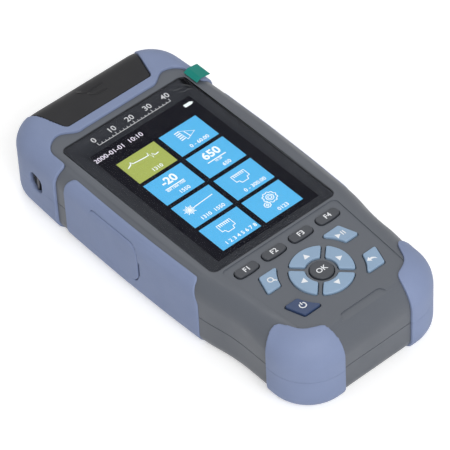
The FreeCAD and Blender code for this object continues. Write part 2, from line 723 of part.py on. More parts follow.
case = case_form("case_form", 0)
cavity = case_form("cavity_form", -size("wall"))
rubber_bed = case_form("rubber_bed_form", -size("rubber_inset"))
bumper_skin = case_form("bumper_form", size("bumper_proud"))
grip_skin = case_form("grip_form", size("grip_proud"))
cover_skin = case_form("cover_form", size("cover_proud"))
cover_inside = case_form("cover_inner_form", size("cover_proud") - size("cover_thick"))
cover_bed = case_form("cover_bed_form", size("cover_proud") - size("cover_thick") - size("cover_gap"))

ROOM = "case_length + 40"
above = box("above_parting", ROOM, ROOM, "face_height + 20", 0, f"-({ROOM}) / 2", "parting_height + parting_gap / 2")
below = box("below_parting", ROOM, ROOM, "parting_height + 20 - parting_gap / 2", 0, f"-({ROOM}) / 2", "-20")
top_region = column("top_bumper_region", top_bumper_plan())
low_regions = {"left": column("left_bumper_region", low_bumper_plan(-1)), "right": column("right_bumper_region", low_bumper_plan(1))}
grip_inner = size("case_half_width") - size("grip_wrap")
grip_outer = size("case_half_width") + CLEAR
grip_regions = {
    "left": side_prism("left_grip_region", grip_side("grip_drop"), -grip_outer, -grip_inner),
    "right": side_prism("right_grip_region", grip_side("right_grip_drop"), grip_inner, grip_outer),
}

# room for the dust cover, the connector bay and the cover's hinge
cover_column = column("cover_room_column", cover_plan(size("cover_gap")))
cover_skin_room = common(
    "cover_skin_room",
    cut("outside_cover_bed", box("cover_upper_box", ROOM, "cover_near + 20", "face_height + 10", 0, "far_end - cover_near - 1", "parting_height"), cover_bed),
    cover_column,
)
bay_room = common(
    "bay_room",
    box("bay_box", ROOM, "bay_wall + 20", "face_height + 20", 0, "bay_back", "bay_floor"),
    cover_column,
)
hinge_room = box(
    "hinge_room", "2 * (cover_far_half + cover_gap)", "hinge_inset + hinge_barrel + 20",
    "hinge_height + 2 * hinge_barrel + 20", 0, "pivot - hinge_barrel - 1.2", "-20",
)
panel_slot = box(
    "panel_slot", "2 * panel_half + 0.2", "panel_thick + 0.1", "panel_tall + 0.4",
    0, "bay_back", "bay_floor",
)
bay_window = box(
    "bay_window", "2 * (panel_half - liner)", "20", "panel_tall - 2.6",
    0, "bay_back - 15", "bay_floor + 1.5",
)
cover_pin_hole = rod(
    "cover_pin_hole", "pin_radius", "2 * (cover_far_half + cover_gap + pin_seat)",
    "-(cover_far_half + cover_gap + pin_seat)", "pivot", "hinge_height", ALONG_X,
)
bay_cuts = fuse("bay_cuts", cover_skin_room, bay_room, hinge_room, panel_slot)
bay_block = common(
    "bay_block",
    column("bay_column", cover_plan(size("cover_gap") + size("liner"))),
    box("bay_block_box", ROOM, "cover_near + 22", "face_height + 20", 0, "far_end - cover_near - 2", "-10"),
)

# strap slot, with a solid well behind it
strap_x = -(size("case_half_width") + size("bumper_proud") + 1)
strap_floor = size("strap_depth") - size("case_half_width")
strap_cut = side_prism("strap_cut", strap_side(), strap_x, strap_floor)
strap_well = box(
    "strap_well", "6", "strap_length + 4", "strap_tall + 4",
    "strap_depth - case_half_width - 1.2", "strap_middle - strap_length / 2 - 2", "strap_height - strap_tall / 2 - 2",
)
BAR_X = "2.0 - case_half_width"
BAR_LOW = "strap_height - strap_tall / 2 - 1"
strap_bar = rod("strap_bar_rod", "strap_bar_radius", "strap_tall + 2", BAR_X, "strap_middle", BAR_LOW)
node("strap_bar", strap_bar)
strap_bar_hole = rod("strap_bar_hole", "strap_bar_radius", "strap_tall + 2", BAR_X, "strap_middle", BAR_LOW)

hollow = cut("hollow", cavity, bay_block, strap_well)
rubber_layer = cut("rubber_layer", case, rubber_bed)
bed_regions = fuse("bed_regions", top_region, *low_regions.values(), *grip_regions.values())
rubber_room = common("rubber_room", rubber_layer, bed_regions)


# ---------------------------------------------------------------- bumpers and grips

bumper_layer = cut("bumper_layer", bumper_skin, rubber_bed)
top_bumper = cut(
    "top_bumper_blank", common("top_bumper_band", bumper_layer, top_region),
    bay_cuts, strap_cut, strap_bar_hole, cover_pin_hole,
)
halves = {"front": above, "rear": below}
for half, space in halves.items():
    node(f"top_bumper_{half}", common(f"top_bumper_{half}_piece", top_bumper, space))
    for side, region in low_regions.items():
        node(f"{side}_bumper_{half}", common(f"{side}_bumper_{half}_piece", bumper_layer, region, space))

grip_layer = cut("grip_layer", grip_skin, rubber_bed)
flap_room = side_prism("flap_room", flap_side(size("flap_gap")), -grip_outer, -grip_inner)
slit = box(
    "flap_slit", "20", "slit_wide", "slit_tall", "-case_half_width",
    "flap_free_end - flap_gap + 0.1 - slit_wide", "flap_bottom + 4.8",
)
node("left_grip", cut("left_grip_piece", common("left_grip_band", grip_layer, grip_regions["left"]), flap_room, slit))
node("right_grip", common("right_grip_piece", grip_layer, grip_regions["right"]))

flap_floor = case_form("flap_inner_form", size("grip_proud") - size("flap_thick"))
flap_space = side_prism("flap_space", flap_side(0), -grip_outer, -grip_inner)
node("side_flap", common("side_flap_piece", cut("flap_layer", grip_skin, flap_floor), flap_space))


# ---------------------------------------------------------------- key outlines

def function_key_plan():
    """One function key about its own middle: rounded ends and a bowed lower edge."""
    half_x, half_y = size("function_width") / 2, size("function_depth") / 2
    bow = size("function_bow")
    edges = [
        line(Vector(-half_x, half_y), Vector(half_x, half_y)),
        line(Vector(half_x, half_y), Vector(half_x, bow - half_y)),
        Part.Arc(Vector(half_x, bow - half_y), Vector(0, -half_y), Vector(-half_x, bow - half_y)).toShape(),
        line(Vector(-half_x, bow - half_y), Vector(-half_x, half_y)),
    ]
    return rounded(Part.Wire(Part.__sortEdges__(edges)), size("function_corner"))


def cursor_key_plan(turn):
    """One quarter of the cursor ring, turned by turn degrees from the +Y key."""
    outer, inner, web = size("ring_outer"), size("ring_inner"), size("ring_web") / 2

    def corner(radius, side):
        along = math.sqrt(radius ** 2 - web ** 2)
        spot = Vector(side * (along - web) * math.sqrt(0.5), (along + web) * math.sqrt(0.5))
        return spot

    edges = [
        Part.Arc(corner(outer, -1), Vector(0, outer), corner(outer, 1)).toShape(),
        line(corner(outer, 1), corner(inner, 1)),
        Part.Arc(corner(inner, 1), Vector(0, inner), corner(inner, -1)).toShape(),
        line(corner(inner, -1), corner(outer, -1)),
    ]
    return turned(rounded(Part.Wire(Part.__sortEdges__(edges)), 0.7), turn)


def wing_key_plan(across, along):
    """One of the four outer keys; across and along are its signs about the ring's middle."""
    radius = size("wing_arc")
    far_out, near_out = Vector(19.3, 12.5), Vector(22.1, 4.3)
    start, end = math.atan2(12.4, 10.5), math.atan2(4.3, 15.6)
    top = Vector(radius * math.cos(start), radius * math.sin(start))
    foot = Vector(radius * math.cos(end), radius * math.sin(end))
    edges = [
        line(near_out, far_out),
        line(far_out, top),
        arc(Vector(), radius, start, end),
        line(foot, near_out),
    ]
    wire = rounded(Part.Wire(Part.__sortEdges__(edges)), size("wing_corner"))
    if across < 0:
        wire = wire.mirror(Vector(), Vector(1, 0, 0))
    if along < 0:
        wire = wire.mirror(Vector(), Vector(0, 1, 0))
    return wire


def enter_key_plan():
    return Part.Wire(Part.Circle(Vector(), UP, size("enter_radius")).toShape())


middle_y = size("keypad_middle")
key_plans = {}
for number in range(4):
    key_plans[f"f{number + 1}_key"] = shifted(
        function_key_plan(), (number - 1.5) * size("function_pitch"), size("function_row")
    )
for name, turn in (("up_key", 0), ("left_key", 90), ("down_key", 180), ("right_key", 270)):
    key_plans[name] = shifted(cursor_key_plan(turn), 0, middle_y)
for name, across, along in (("zoom_key", -1, 1), ("run_key", 1, 1), ("power_key", -1, -1), ("back_key", 1, -1)):
    key_plans[name] = shifted(wing_key_plan(across, along), 0, middle_y)
key_plans["enter_key"] = shifted(enter_key_plan(), 0, middle_y)

def key(name, plan):
    """A key: a cap through the face and a rim that stops it underneath."""
    cap = prism(name + "_cap", plan, "key_bottom", "key_top - key_bottom")
    rim = prism(name + "_rim", grown(plan, size("key_flange")), "key_bottom", "key_flange_thick")
    whole = fuse(name + "_blank", cap, rim)
    doc.recompute()
    level = size("key_top")
    top = [
        (number, size("key_round"), size("key_round"))
        for number, edge in enumerate(whole.Shape.Edges, start=1)
        if all(abs(v.Z - level) < 1e-6 for v in edge.Vertexes)
    ]
    item = doc.addObject("Part::Fillet", name + "_piece")
    item.Base = whole
    item.Edges = top
    return node(name, item)


key_holes = []
for name, plan in key_plans.items():
    key(name, plan)
    key_holes.append(prism(name + "_hole", grown(plan, size("key_gap")), "inner_face - 1", "wall + 5"))

# ---------------------------------------------------------------- front shell

glass_bed = plate(
    "glass_bed", "glass_width + 2 * glass_gap", "glass_length + 2 * glass_gap", "glass_thick + 5",
    0, "screen_middle", "face_height - glass_thick", corner="glass_corner + glass_gap",
)
window = box(
    "window_cut", "window_width", "window_length", "wall + 10", 0,
    "display_middle - window_length / 2", "face_height - wall - 5",
)
recess_edge = size("low_recess_edge") + size("near_end")
recess_run = size("low_recess_edge") + 3
recess_half = size("low_recess_half")
recess_flare = recess_half + size("low_recess_flare") * recess_run
low_recess = prism(
    "low_recess",
    rounded(joined([
        (-recess_half, recess_edge), (recess_half, recess_edge),
        (recess_flare, recess_edge - recess_run), (-recess_flare, recess_edge - recess_run),
    ]), size("low_recess_corner")),
    "keypad_floor - low_recess_depth", "low_recess_depth + 5",
)
keypad_end = size("near_end") - 4
keypad_half = size("keypad_high_half")
keypad_low_half = keypad_half - size("keypad_taper") * (size("keypad_high") - keypad_end)
keypad_area = prism(
    "keypad_area",
    rounded(joined([
        (-keypad_half, size("keypad_high")), (keypad_half, size("keypad_high")),
        (keypad_low_half, keypad_end), (-keypad_low_half, keypad_end),
    ]), size("keypad_corner")),
    "keypad_floor", "keypad_drop + 5",
)

case_screw_spots = [
    (sign + x, y) for x, y in (("boss_x", "boss_high"), ("boss_x", "boss_middle"), ("boss_low_x", "boss_low"))
    for sign in ("-", "")
]
main_board_spots = [(sign + "main_post_x", y) for y in ("main_post_high", "main_post_low") for sign in ("-", "")]
key_board_spots = [(sign + "key_post_x", y) for y in ("key_post_high", "key_post_low") for sign in ("-", "")]


def boss_ring(name, spots, radius, low, tall):
    return [rod(f"{name}_{n}", radius, tall, x, y, low) for n, (x, y) in enumerate(spots)]


front_bosses = boss_ring(
    "front_boss", case_screw_spots, "boss_radius", "parting_height + parting_gap / 2",
    "inner_face + 0.5 - parting_height - parting_gap / 2",
)
main_posts = boss_ring("main_post", main_board_spots, "post_radius", "main_top", "display_thick + 0.5")
key_posts = boss_ring("key_post", key_board_spots, "post_radius", "mat_bottom", "inner_face + 0.5 - mat_bottom")
case_pilots = boss_ring("case_pilot", case_screw_spots, "screw_radius", "parting_height - 1", "pilot_depth + 1")
main_pilots = boss_ring("main_pilot", main_board_spots, "board_screw_radius", "main_top - 1", "4")
key_pilots = boss_ring("key_pilot", key_board_spots, "board_screw_radius", "mat_bottom - 1", "3.6")

front_shell = cut("front_shell", common("front_block", case, above), hollow)
front_solid = fuse("front_solid", front_shell, *front_bosses, *main_posts, *key_posts)
socket_hole = box(
    "socket_hole", "12", "socket_width + 0.6", "socket_thick + 0.6",
    "1 - case_half_width", "socket_middle - socket_width / 2 - 0.3", "socket_low - 0.3",
)
node(
    "front_housing",
    cut(
        "front_housing_piece", front_solid, rubber_room, bay_cuts, bay_window, strap_cut, strap_bar_hole,
        socket_hole, glass_bed, window, keypad_area, low_recess, *key_holes, *case_pilots, *main_pilots, *key_pilots,
    ),
)

# ---------------------------------------------------------------- rear shell

stand_room = box(
    "stand_room", "2 * (stand_half_width + stand_gap)", "stand_length + stand_barrel + 2 * stand_gap",
    "stand_thick + 2 * stand_gap + 10", 0, "stand_hinge - stand_length - stand_gap", "bumper_proud - 10",
)
raised_floor = box(
    "raised_floor", "2 * (stand_half_width + stand_gap + pin_seat + 1.2)", "stand_length + stand_barrel + 2 * stand_gap + 4",
    "floor_top - bumper_proud - 1", 0, "stand_hinge - stand_length - stand_gap - 2", "bumper_proud + 1",
)
stand_pin_hole = rod(
    "stand_pin_hole", "stand_pin_radius", "2 * (stand_half_width + stand_gap + pin_seat)",
    "-(stand_half_width + stand_gap + pin_seat)", "stand_hinge", "stand_pin_height", ALONG_X,
)
rear_bosses = boss_ring(
    "rear_boss", case_screw_spots, "boss_radius + 0.6", "bumper_proud + 1",
    "parting_height - parting_gap / 2 - bumper_proud - 1",
)
rear_shanks = boss_ring("rear_shank", case_screw_spots, "screw_radius + 0.25", "-5", "parting_height + 10")
rear_sinks = boss_ring("rear_sink", case_screw_spots, "screw_head + 0.3", "-5", "5 + bumper_proud + screw_sink")
battery_stops = [
    box(name, "4 * battery_radius + 2", "tray_wall", "6", 0, y, "floor_top - 1")
    for name, y in (
        ("battery_far_stop", "battery_low + battery_length + 0.3"),
        ("battery_near_stop", "battery_low - 0.3 - tray_wall"),
    )
]
battery_shelf = box(
    "battery_shelf", "4 * battery_radius + 2", "12", "floor_top - bumper_proud - 1", 0,
    "battery_low - 0.3 - tray_wall", "bumper_proud + 1",
)
rear_shell = cut("rear_shell", common("rear_block", case, below), hollow)
rear_solid = fuse("rear_solid", rear_shell, raised_floor, battery_shelf, *battery_stops, *rear_bosses)
rear_cut = cut(
    "rear_housing_piece", rear_solid, rubber_room, bay_cuts, bay_window, strap_cut, strap_bar_hole,
    stand_room, stand_pin_hole, cover_pin_hole, *rear_shanks, *rear_sinks,
)
node("rear_housing", rear_cut)

# ---------------------------------------------------------------- dust cover

cover_blank = common(
    "cover_blank",
    cut("cover_layer", cover_skin, cover_inside),
    column("cover_column", cover_plan(0)),
    box("cover_box", ROOM, "cover_near + 20", "face_height + 10", 0, "far_end - cover_near - 1", "hinge_height"),
)
barrel = rod(
    "cover_barrel", "hinge_barrel", "2 * (cover_far_half - 1)", "1 - cover_far_half",
    "pivot", "hinge_height", ALONG_X,
)
barrel_hole = rod(
    "cover_barrel_hole", "pin_radius + pin_play", "2 * cover_far_half + 2", "-1 - cover_far_half",
    "pivot", "hinge_height", ALONG_X,
)


def mark(name, points, middle_y):
    """A bent stroke sunk in the cover, its points given about the middle of the cover."""
    stroke = size("mark_width")
    spots = [(x, middle_y + y) for x, y in points]
    wire = joined(spots + [(x, y - stroke) for x, y in reversed(spots)])
    return prism(name, wire, "face_height + cover_proud - mark_depth", "5")


mark_y = size("far_end") - size("cover_near") / 2
marks = [
    mark("far_mark", [(-6.0, 2.9), (-2.8, 0.6), (4.6, 1.1)], mark_y),
    mark("near_mark", [(-3.3, -0.7), (-0.9, -2.3), (3.9, -2.7)], mark_y),
]
node("dust_cover", cut("dust_cover_piece", fuse("cover_solid", cover_blank, barrel), barrel_hole, *marks))
node(
    "dust_cover_pin",
    rod(
        "dust_cover_pin_rod", "pin_radius", "2 * (cover_far_half + cover_gap + pin_seat)",
        "-(cover_far_half + cover_gap + pin_seat)", "pivot", "hinge_height", ALONG_X,
    ),
)

# ---------------------------------------------------------------- connector bay

panel_blank = box("port_panel_blank", "2 * panel_half", "panel_thick", "panel_tall", 0, "bay_back", "bay_floor + 0.1")


def round_port(name, x, flange, flange_thick, nose, nose_length, tail):
    """A connector adapter: a flange on the panel, a threaded nose and a tail behind, with a ferrule bore."""
    pieces = [
        rod(name + "_flange", flange, flange_thick, x, "panel_front", "port_height", ALONG_Y),
        rod(name + "_nose", nose, nose_length, x, "panel_front", "port_height", ALONG_Y),
        rod(name + "_tail", f"({nose}) - 0.2", f"panel_thick + {tail}", x, f"bay_back - {tail}", "port_height", ALONG_Y),
    ]
    bore = rod(name + "_bore", "ferrule_radius", f"{nose_length} + 30", x, f"bay_back - {tail} + 2", "port_height", ALONG_Y)
    return node(name, cut(name + "_piece", fuse(name + "_blank", *pieces), bore))


round_port("otdr_adapter", "otdr_x", "5.0", "1.4", "4.0", "8.0", "6")
round_port("meter_adapter", "meter_x", "4.4", "1.0", "3.6", "6.5", "5")
round_port("locator_adapter", "locator_x", "3.2", "1.0", "2.8", "6.5", "5")
panel_holes = [
    rod(f"panel_hole_{n}", radius, "panel_thick + 2", x, "bay_back - 1", "port_height", ALONG_Y)
    for n, (x, radius) in enumerate((("otdr_x", "3.8"), ("meter_x", "3.4"), ("locator_x", "2.6")))
]
panel_jack_hole = box(
    "panel_jack_hole", "jack_width", "panel_thick + 2", "jack_tall", "jack_x", "bay_back - 1",
    "port_height - jack_tall / 2",
)
node("port_panel", cut("port_panel_piece", panel_blank, panel_jack_hole, *panel_holes))

JACK_FRONT = "panel_front + 1"
jack_blank = box("jack_blank", "jack_width", "jack_length", "jack_tall", "jack_x", f"{JACK_FRONT} - jack_length", "port_height - jack_tall / 2")
jack_mouth = box(
    "jack_mouth", "jack_mouth_width", "jack_mouth_depth + 1", "jack_mouth_tall", "jack_x",
    f"{JACK_FRONT} - jack_mouth_depth", "port_height - jack_mouth_tall / 2",
)
jack_latch = box(
    "jack_latch", "6.2", "jack_mouth_depth + 1", "2.0", "jack_x",
    f"{JACK_FRONT} - jack_mouth_depth", "port_height - jack_mouth_tall / 2 - 1.6",
)
node("network_jack", cut("network_jack_piece", jack_blank, jack_mouth, jack_latch))

node("meter_detector", rod("meter_detector_rod", "3.3", "5.5", "meter_x", "bay_back - 10.6", "port_height", ALONG_Y))
node("locator_laser", rod("locator_laser_rod", "2.6", "6.5", "locator_x", "bay_back - 11.6", "port_height", ALONG_Y))

# ---------------------------------------------------------------- screen

node(
    "screen_glass",
    plate("screen_glass", "glass_width", "glass_length", "glass_thick", 0, "screen_middle", "face_height - glass_thick", corner="glass_corner"),
)
node(
    "screen_film",
    plate(
        "screen_film", "glass_width - 2 * film_margin", "glass_length - 2 * film_margin", "film_thick",
        0, "screen_middle", "face_height", corner="glass_corner - film_margin",
    ),
)


def tab_profile():
    """Section of the pull tab: stuck to the film, then lifted over the bumper's edge."""
    start = size("glass_width") / 2
    low = size("face_height") + size("film_thick")
    crest = size("face_height") + size("bumper_proud") + 0.35
    thick = size("tab_thick")
    path = [(start - 2.6, low), (start + 0.8, low), (start + 3.4, crest), (start + size("tab_reach"), crest - 0.7)]
    upper = [(x, z + thick) for x, z in reversed(path)]
    return joined([(x, 0, z) for x, z in path + upper])


tab_top = size("screen_middle") + size("glass_length") / 2 + 0.4
tab_solid = Part.Face(tab_profile()).extrude(Vector(0, -size("tab_width"), 0))
tab_solid.translate(Vector(0, tab_top, 0))
node("film_tab", feature("film_tab_piece", tab_solid))
node(
    "display_module",
    plate("display_module", "display_width", "display_length", "display_thick", 0, "display_middle", "main_top", corner="0.8"),
)

# ---------------------------------------------------------------- keypad mat and boards

mat_low, mat_high = "key_board_low + 1", "key_board_high - 1"
MAT_LENGTH = f"({mat_high}) - ({mat_low})"
mat_sheet = plate(
    "mat_sheet", "2 * (key_post_x - post_radius - 0.4)", MAT_LENGTH, "mat_thick", 0,
    f"(({mat_low}) + ({mat_high})) / 2", "mat_bottom", corner="2",
)
dome_spots = []
for name, plan in key_plans.items():
    spot = Part.Face(plan).CenterOfMass
    dome_spots.append((round(spot.x, 3), round(spot.y, 3)))
domes = [rod(f"dome_{n}", "dome_radius", "dome_tall + 0.1", x, y, "mat_top - 0.1") for n, (x, y) in enumerate(dome_spots)]
node("keypad_mat", fuse("keypad_mat_piece", mat_sheet, *domes))


def board(name, half, low, high, top, spots):
    middle = f"(({low}) + ({high})) / 2"
    holes = [("board_screw_radius + 0.2", x, f"{y} - ({middle})") for x, y in spots]
    return plate(name, f"2 * {half}", f"({high}) - ({low})", "board_thick", 0, middle, f"{top} - board_thick", corner="1.5", holes=holes)


key_board = board("key_board", "key_board_half", "key_board_low", "key_board_high", "mat_bottom", key_board_spots)
node("key_board", key_board)
main_blank = board("main_board_blank", "main_board_half", "main_board_low", "main_board_high", "main_top", main_board_spots)
main_notches = boss_ring("main_notch", case_screw_spots[:4], "boss_radius + 0.5", "main_bottom - 1", "board_thick + 2")
node("main_board", cut("main_board_piece", main_blank, *main_notches))


def screws(name, spots, head_radius, head_low, head_tall, shank_radius, shank_tall):
    """Identical screws, each its own solid."""
    pieces = []
    for number, (x, y) in enumerate(spots):
        head = rod(f"{name}_head_{number}", head_radius, head_tall, x, y, head_low)
        shank = rod(f"{name}_shank_{number}", shank_radius, shank_tall, x, y, f"{head_low} + {head_tall}")
        pieces.append(fuse(f"{name}_{number}", head, shank))
    return pieces


node(
    "case_screws",
    group("case_screws_group", screws(
        "case_screw", case_screw_spots, "screw_head", "bumper_proud + screw_sink - screw_head_tall", "screw_head_tall",
        "screw_radius", "parting_height - bumper_proud - screw_sink + pilot_depth - 2",
    )),
)
board_screws = screws(
    "main_screw", main_board_spots, "board_screw_head", "main_bottom - 1", "1", "board_screw_radius", "board_thick + 2.6",
) + screws(
    "key_screw", key_board_spots, "board_screw_head", "mat_bottom - board_thick - 1", "1", "board_screw_radius", "board_thick + 2.2",
)
node("board_screws", group("board_screws_group", board_screws))

# ---------------------------------------------------------------- battery, optics and the rest inside

cells = [
    rod(f"cell_{n}", "battery_radius", "battery_length", f"{sign} * battery_radius", "battery_low", "floor_top + battery_radius", ALONG_Y)
    for n, sign in enumerate(("-1", "1"))
]
cell_bridge = box("cell_bridge", "2 * battery_radius", "battery_length", "2 * battery_radius", 0, "battery_low", "floor_top")
node("battery_pack", fuse("battery_pack_piece", cell_bridge, *cells))
node(
    "optical_module",
    plate(
        "optical_module", "2 * optics_half", "optics_length", "optics_thick", 0, "optics_low + optics_length / 2",
        "main_bottom - optics_thick", corner="1.5",
    ),
)
coil_profile = joined([
    (size("coil_inner") - 1.5, 0, 0), (size("coil_outer"), 0, 0), (size("coil_outer"), 0, 0.8), (size("coil_inner"), 0, 0.8),
    (size("coil_inner"), 0, size("coil_tall") - 0.8), (size("coil_outer"), 0, size("coil_tall") - 0.8),
    (size("coil_outer"), 0, size("coil_tall")), (size("coil_inner") - 1.5, 0, size("coil_tall")),
])
spool = feature("fibre_spool_piece", Part.Face(coil_profile).revolve(Vector(), UP, 360))
node("fibre_spool", place(spool, 0, "stand_hinge", "floor_top"))
node("fibre_coil", cut(
    "fibre_coil_piece",
    rod("coil_outside", "coil_outer - 0.6", "coil_tall - 1.7", 0, "stand_hinge", "floor_top + 0.85"),
    rod("coil_inside", "coil_inner + 0.05", "coil_tall", 0, "stand_hinge", "floor_top"),
))
node("buzzer", rod(
    "buzzer_rod", "buzzer_radius", "buzzer_tall", "2 * battery_radius + buzzer_radius + 0.2", "main_board_low + 14",
    "main_bottom - buzzer_tall",
))
socket_shell = box(
    "socket_shell", "socket_depth", "socket_width", "socket_thick", "2.2 - case_half_width + socket_depth / 2",
    "socket_middle - socket_width / 2", "socket_low",
)
socket_mouth = box(
    "socket_mouth", "socket_depth", "socket_width - 2 * socket_wall", "socket_thick - 2 * socket_wall",
    "2.2 - case_half_width + socket_depth / 2 - 1", "socket_middle - socket_width / 2 + socket_wall", "socket_low + socket_wall",
)
node("charge_socket", cut("charge_socket_piece", socket_shell, socket_mouth))

# ---------------------------------------------------------------- tilt stand

stand_plan = rounded(
    joined([
        (-size("stand_half_width"), 0), (size("stand_half_width"), 0),
        (size("stand_half_width") - 2.5, -size("stand_length")), (2.5 - size("stand_half_width"), -size("stand_length")),
    ]),
    size("stand_corner"),
)
stand_leaf = prism("stand_leaf", shifted(stand_plan, 0, size("stand_hinge")), "bumper_proud + stand_gap", "stand_thick")
stand_fill = box("stand_fill", "2 * stand_half_width", "stand_corner", "stand_thick", 0, "stand_hinge - stand_corner", "bumper_proud + stand_gap")
stand_barrel = rod("stand_barrel", "stand_barrel", "2 * stand_half_width", "-stand_half_width", "stand_hinge", "stand_pin_height", ALONG_X)
stand_bore = rod(
    "stand_bore", "stand_pin_radius + pin_play", "2 * stand_half_width + 2", "-stand_half_width - 1", "stand_hinge", "stand_pin_height", ALONG_X,
)
node("tilt_stand", cut("tilt_stand_piece", fuse("stand_solid", stand_leaf, stand_fill, stand_barrel), stand_bore))
node(
    "stand_pin",
    rod(
        "stand_pin_rod", "stand_pin_radius", "2 * (stand_half_width + stand_gap + pin_seat)",
        "-(stand_half_width + stand_gap + pin_seat)", "stand_hinge", "stand_pin_height", ALONG_X,
    ),
)

# ---------------------------------------------------------------- check and write

doc.recompute()
for item in doc.Objects:
    if "Invalid" in item.State or "Error" in item.State:
        raise RuntimeError(f"{item.Name} failed: {item.State}")
for name, item in nodes.items():
    shape = item.Shape
    if shape.isNull() or not shape.isValid() or not shape.Solids:
        raise RuntimeError(f"{name} has no valid solid")
    shape.exportStep(f"parts/{name}.step")
    print(f"{name:20s} solids {len(shape.Solids)}  volume {shape.Volume / 1000:8.2f} cm3")
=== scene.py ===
"""Handheld fibre tester: the looks of every piece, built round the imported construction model."""

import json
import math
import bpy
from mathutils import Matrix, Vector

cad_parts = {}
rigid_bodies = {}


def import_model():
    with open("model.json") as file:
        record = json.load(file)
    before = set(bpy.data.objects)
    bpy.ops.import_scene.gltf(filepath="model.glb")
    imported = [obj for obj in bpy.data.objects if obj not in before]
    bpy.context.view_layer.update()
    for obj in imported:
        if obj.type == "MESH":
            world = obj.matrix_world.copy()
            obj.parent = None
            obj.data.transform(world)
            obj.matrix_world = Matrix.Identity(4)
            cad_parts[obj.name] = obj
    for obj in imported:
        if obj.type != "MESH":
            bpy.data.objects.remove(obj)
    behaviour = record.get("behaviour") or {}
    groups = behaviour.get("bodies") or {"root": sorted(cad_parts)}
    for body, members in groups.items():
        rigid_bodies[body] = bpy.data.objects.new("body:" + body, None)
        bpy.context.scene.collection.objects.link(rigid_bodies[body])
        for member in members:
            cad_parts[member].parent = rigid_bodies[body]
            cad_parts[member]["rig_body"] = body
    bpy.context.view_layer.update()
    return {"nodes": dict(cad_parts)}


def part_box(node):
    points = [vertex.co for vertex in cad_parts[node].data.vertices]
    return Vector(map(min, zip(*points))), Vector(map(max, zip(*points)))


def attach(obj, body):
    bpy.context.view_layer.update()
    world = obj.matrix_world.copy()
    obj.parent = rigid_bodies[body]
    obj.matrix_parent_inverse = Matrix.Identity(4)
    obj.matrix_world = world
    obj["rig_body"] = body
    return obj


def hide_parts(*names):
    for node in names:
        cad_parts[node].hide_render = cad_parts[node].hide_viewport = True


bl_info = {
    "name": "Handheld Fibre Tester",
    "version": (1, 0, 0),
    "blender": (4, 5, 0),
    "location": "View3D > Sidebar > Fibre Tester",
    "description": "Builds the visible pieces and finishes of a handheld fibre tester",
    "category": "Object",
}

import bpy
from bpy.props import FloatProperty, FloatVectorProperty, PointerProperty
from mathutils import Euler, Vector

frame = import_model()
nodes = frame["nodes"]
MM = 0.001


# ---------------------------------------------------------------- fixed sizes, in mm

# bumpers and the left grip
BUMPER_SEAM = 0.05  # half the open seam between the two halves of a bumper
LIP_WIDTH = 1.2  # strips of the left grip that close the line at the flap's hinge and lower edge
LIP_SHIFT = 0.4  # how far those strips are moved out over that line

# marks in the dust cover
MARK_SET = 9.3  # middle of the marks, in from the cover's far end
MARK_DEPTH = 0.08
MARK_WIDTH = 1.0
MARK_STROKES = (
    [(-6.0, 2.9), (-2.8, 0.6), (4.6, 1.1)],
    [(-3.3, -0.7), (-0.9, -2.3), (3.9, -2.7)],
)

# cover glass and display
LENS_THICK = 0.6
LENS_RIM = 0.22
GLASS_CORNER = 2.5
GLASS_PLAY = 0.3  # what lies behind the glass is this much smaller
GASKET = 0.2
DISPLAY_WIDTH = 48.96
DISPLAY_LENGTH = 73.44
DISPLAY_COLUMNS = 320
DISPLAY_CELL = DISPLAY_WIDTH / DISPLAY_COLUMNS
DISPLAY_SHIFT = (0.35, -3.0)  # middle of the lit area, from the middle of the glass
LAYER = 0.04  # thickness of the border's print and of the picture
SCALE_DROP = 0.012  # the scale, the border, the picture and the black stack, below the lens
BORDER_DROP = 0.04
PICTURE_DROP = 0.1
STACK_DROP = 0.14
TILE_LIFT = 0.03  # the tiles above the picture
TILE_THICK = 0.016
GLYPH_LIFT = 0.015  # drawings and figures above the tiles
SCALE_RISE = 2.6  # distance scale above the lit area
SCALE_STEP = 1.75
SCALE_TICKS = 21
TILE_ROWS = (20.1, 4.45, -11.35, -27.0)
TILE_COLUMNS = ((-10.45, 18.3), (10.15, 18.1))  # middle and width of each column
TILE_HEIGHT = 13.8
CLOCK_PLACE = (-13.2, 33.2)
CHARGE_PLACE = (21.3, 33.4)

# protective film
FILM_CORNER = 2.1
CREASE_SET = (4.2, 6.5)  # middle of the creases, in from the film's corner
TAB_STEM = 1.2  # clear part of the tab beyond the glass

# connectors
FERRULE = 1.25  # radius of the adapters' bore
SLEEVE_BORE = 0.63
THREAD_PITCH = 0.75
THREAD_DEPTH = 0.22
CHAMFER = 0.2
JACK_PITCH = 1.02
SOCKET_PITCH = 0.5


# ---------------------------------------------------------------- settings

def colour_property(name, description, default):
    return FloatVectorProperty(
        name=name, description=description, subtype="COLOR", size=3, min=0.0, max=1.0, default=default
    )


def length_property(name, description, default):
    return FloatProperty(
        name=name, description=description, default=default, unit="LENGTH", min=0.0, precision=5
    )


def power_property(name, description, default):
    return FloatProperty(name=name, description=description, default=default, unit="POWER", min=0.0)


def share_property(name, description, default):
    return FloatProperty(
        name=name, description=description, default=default, subtype="FACTOR", min=0.0, max=1.0
    )


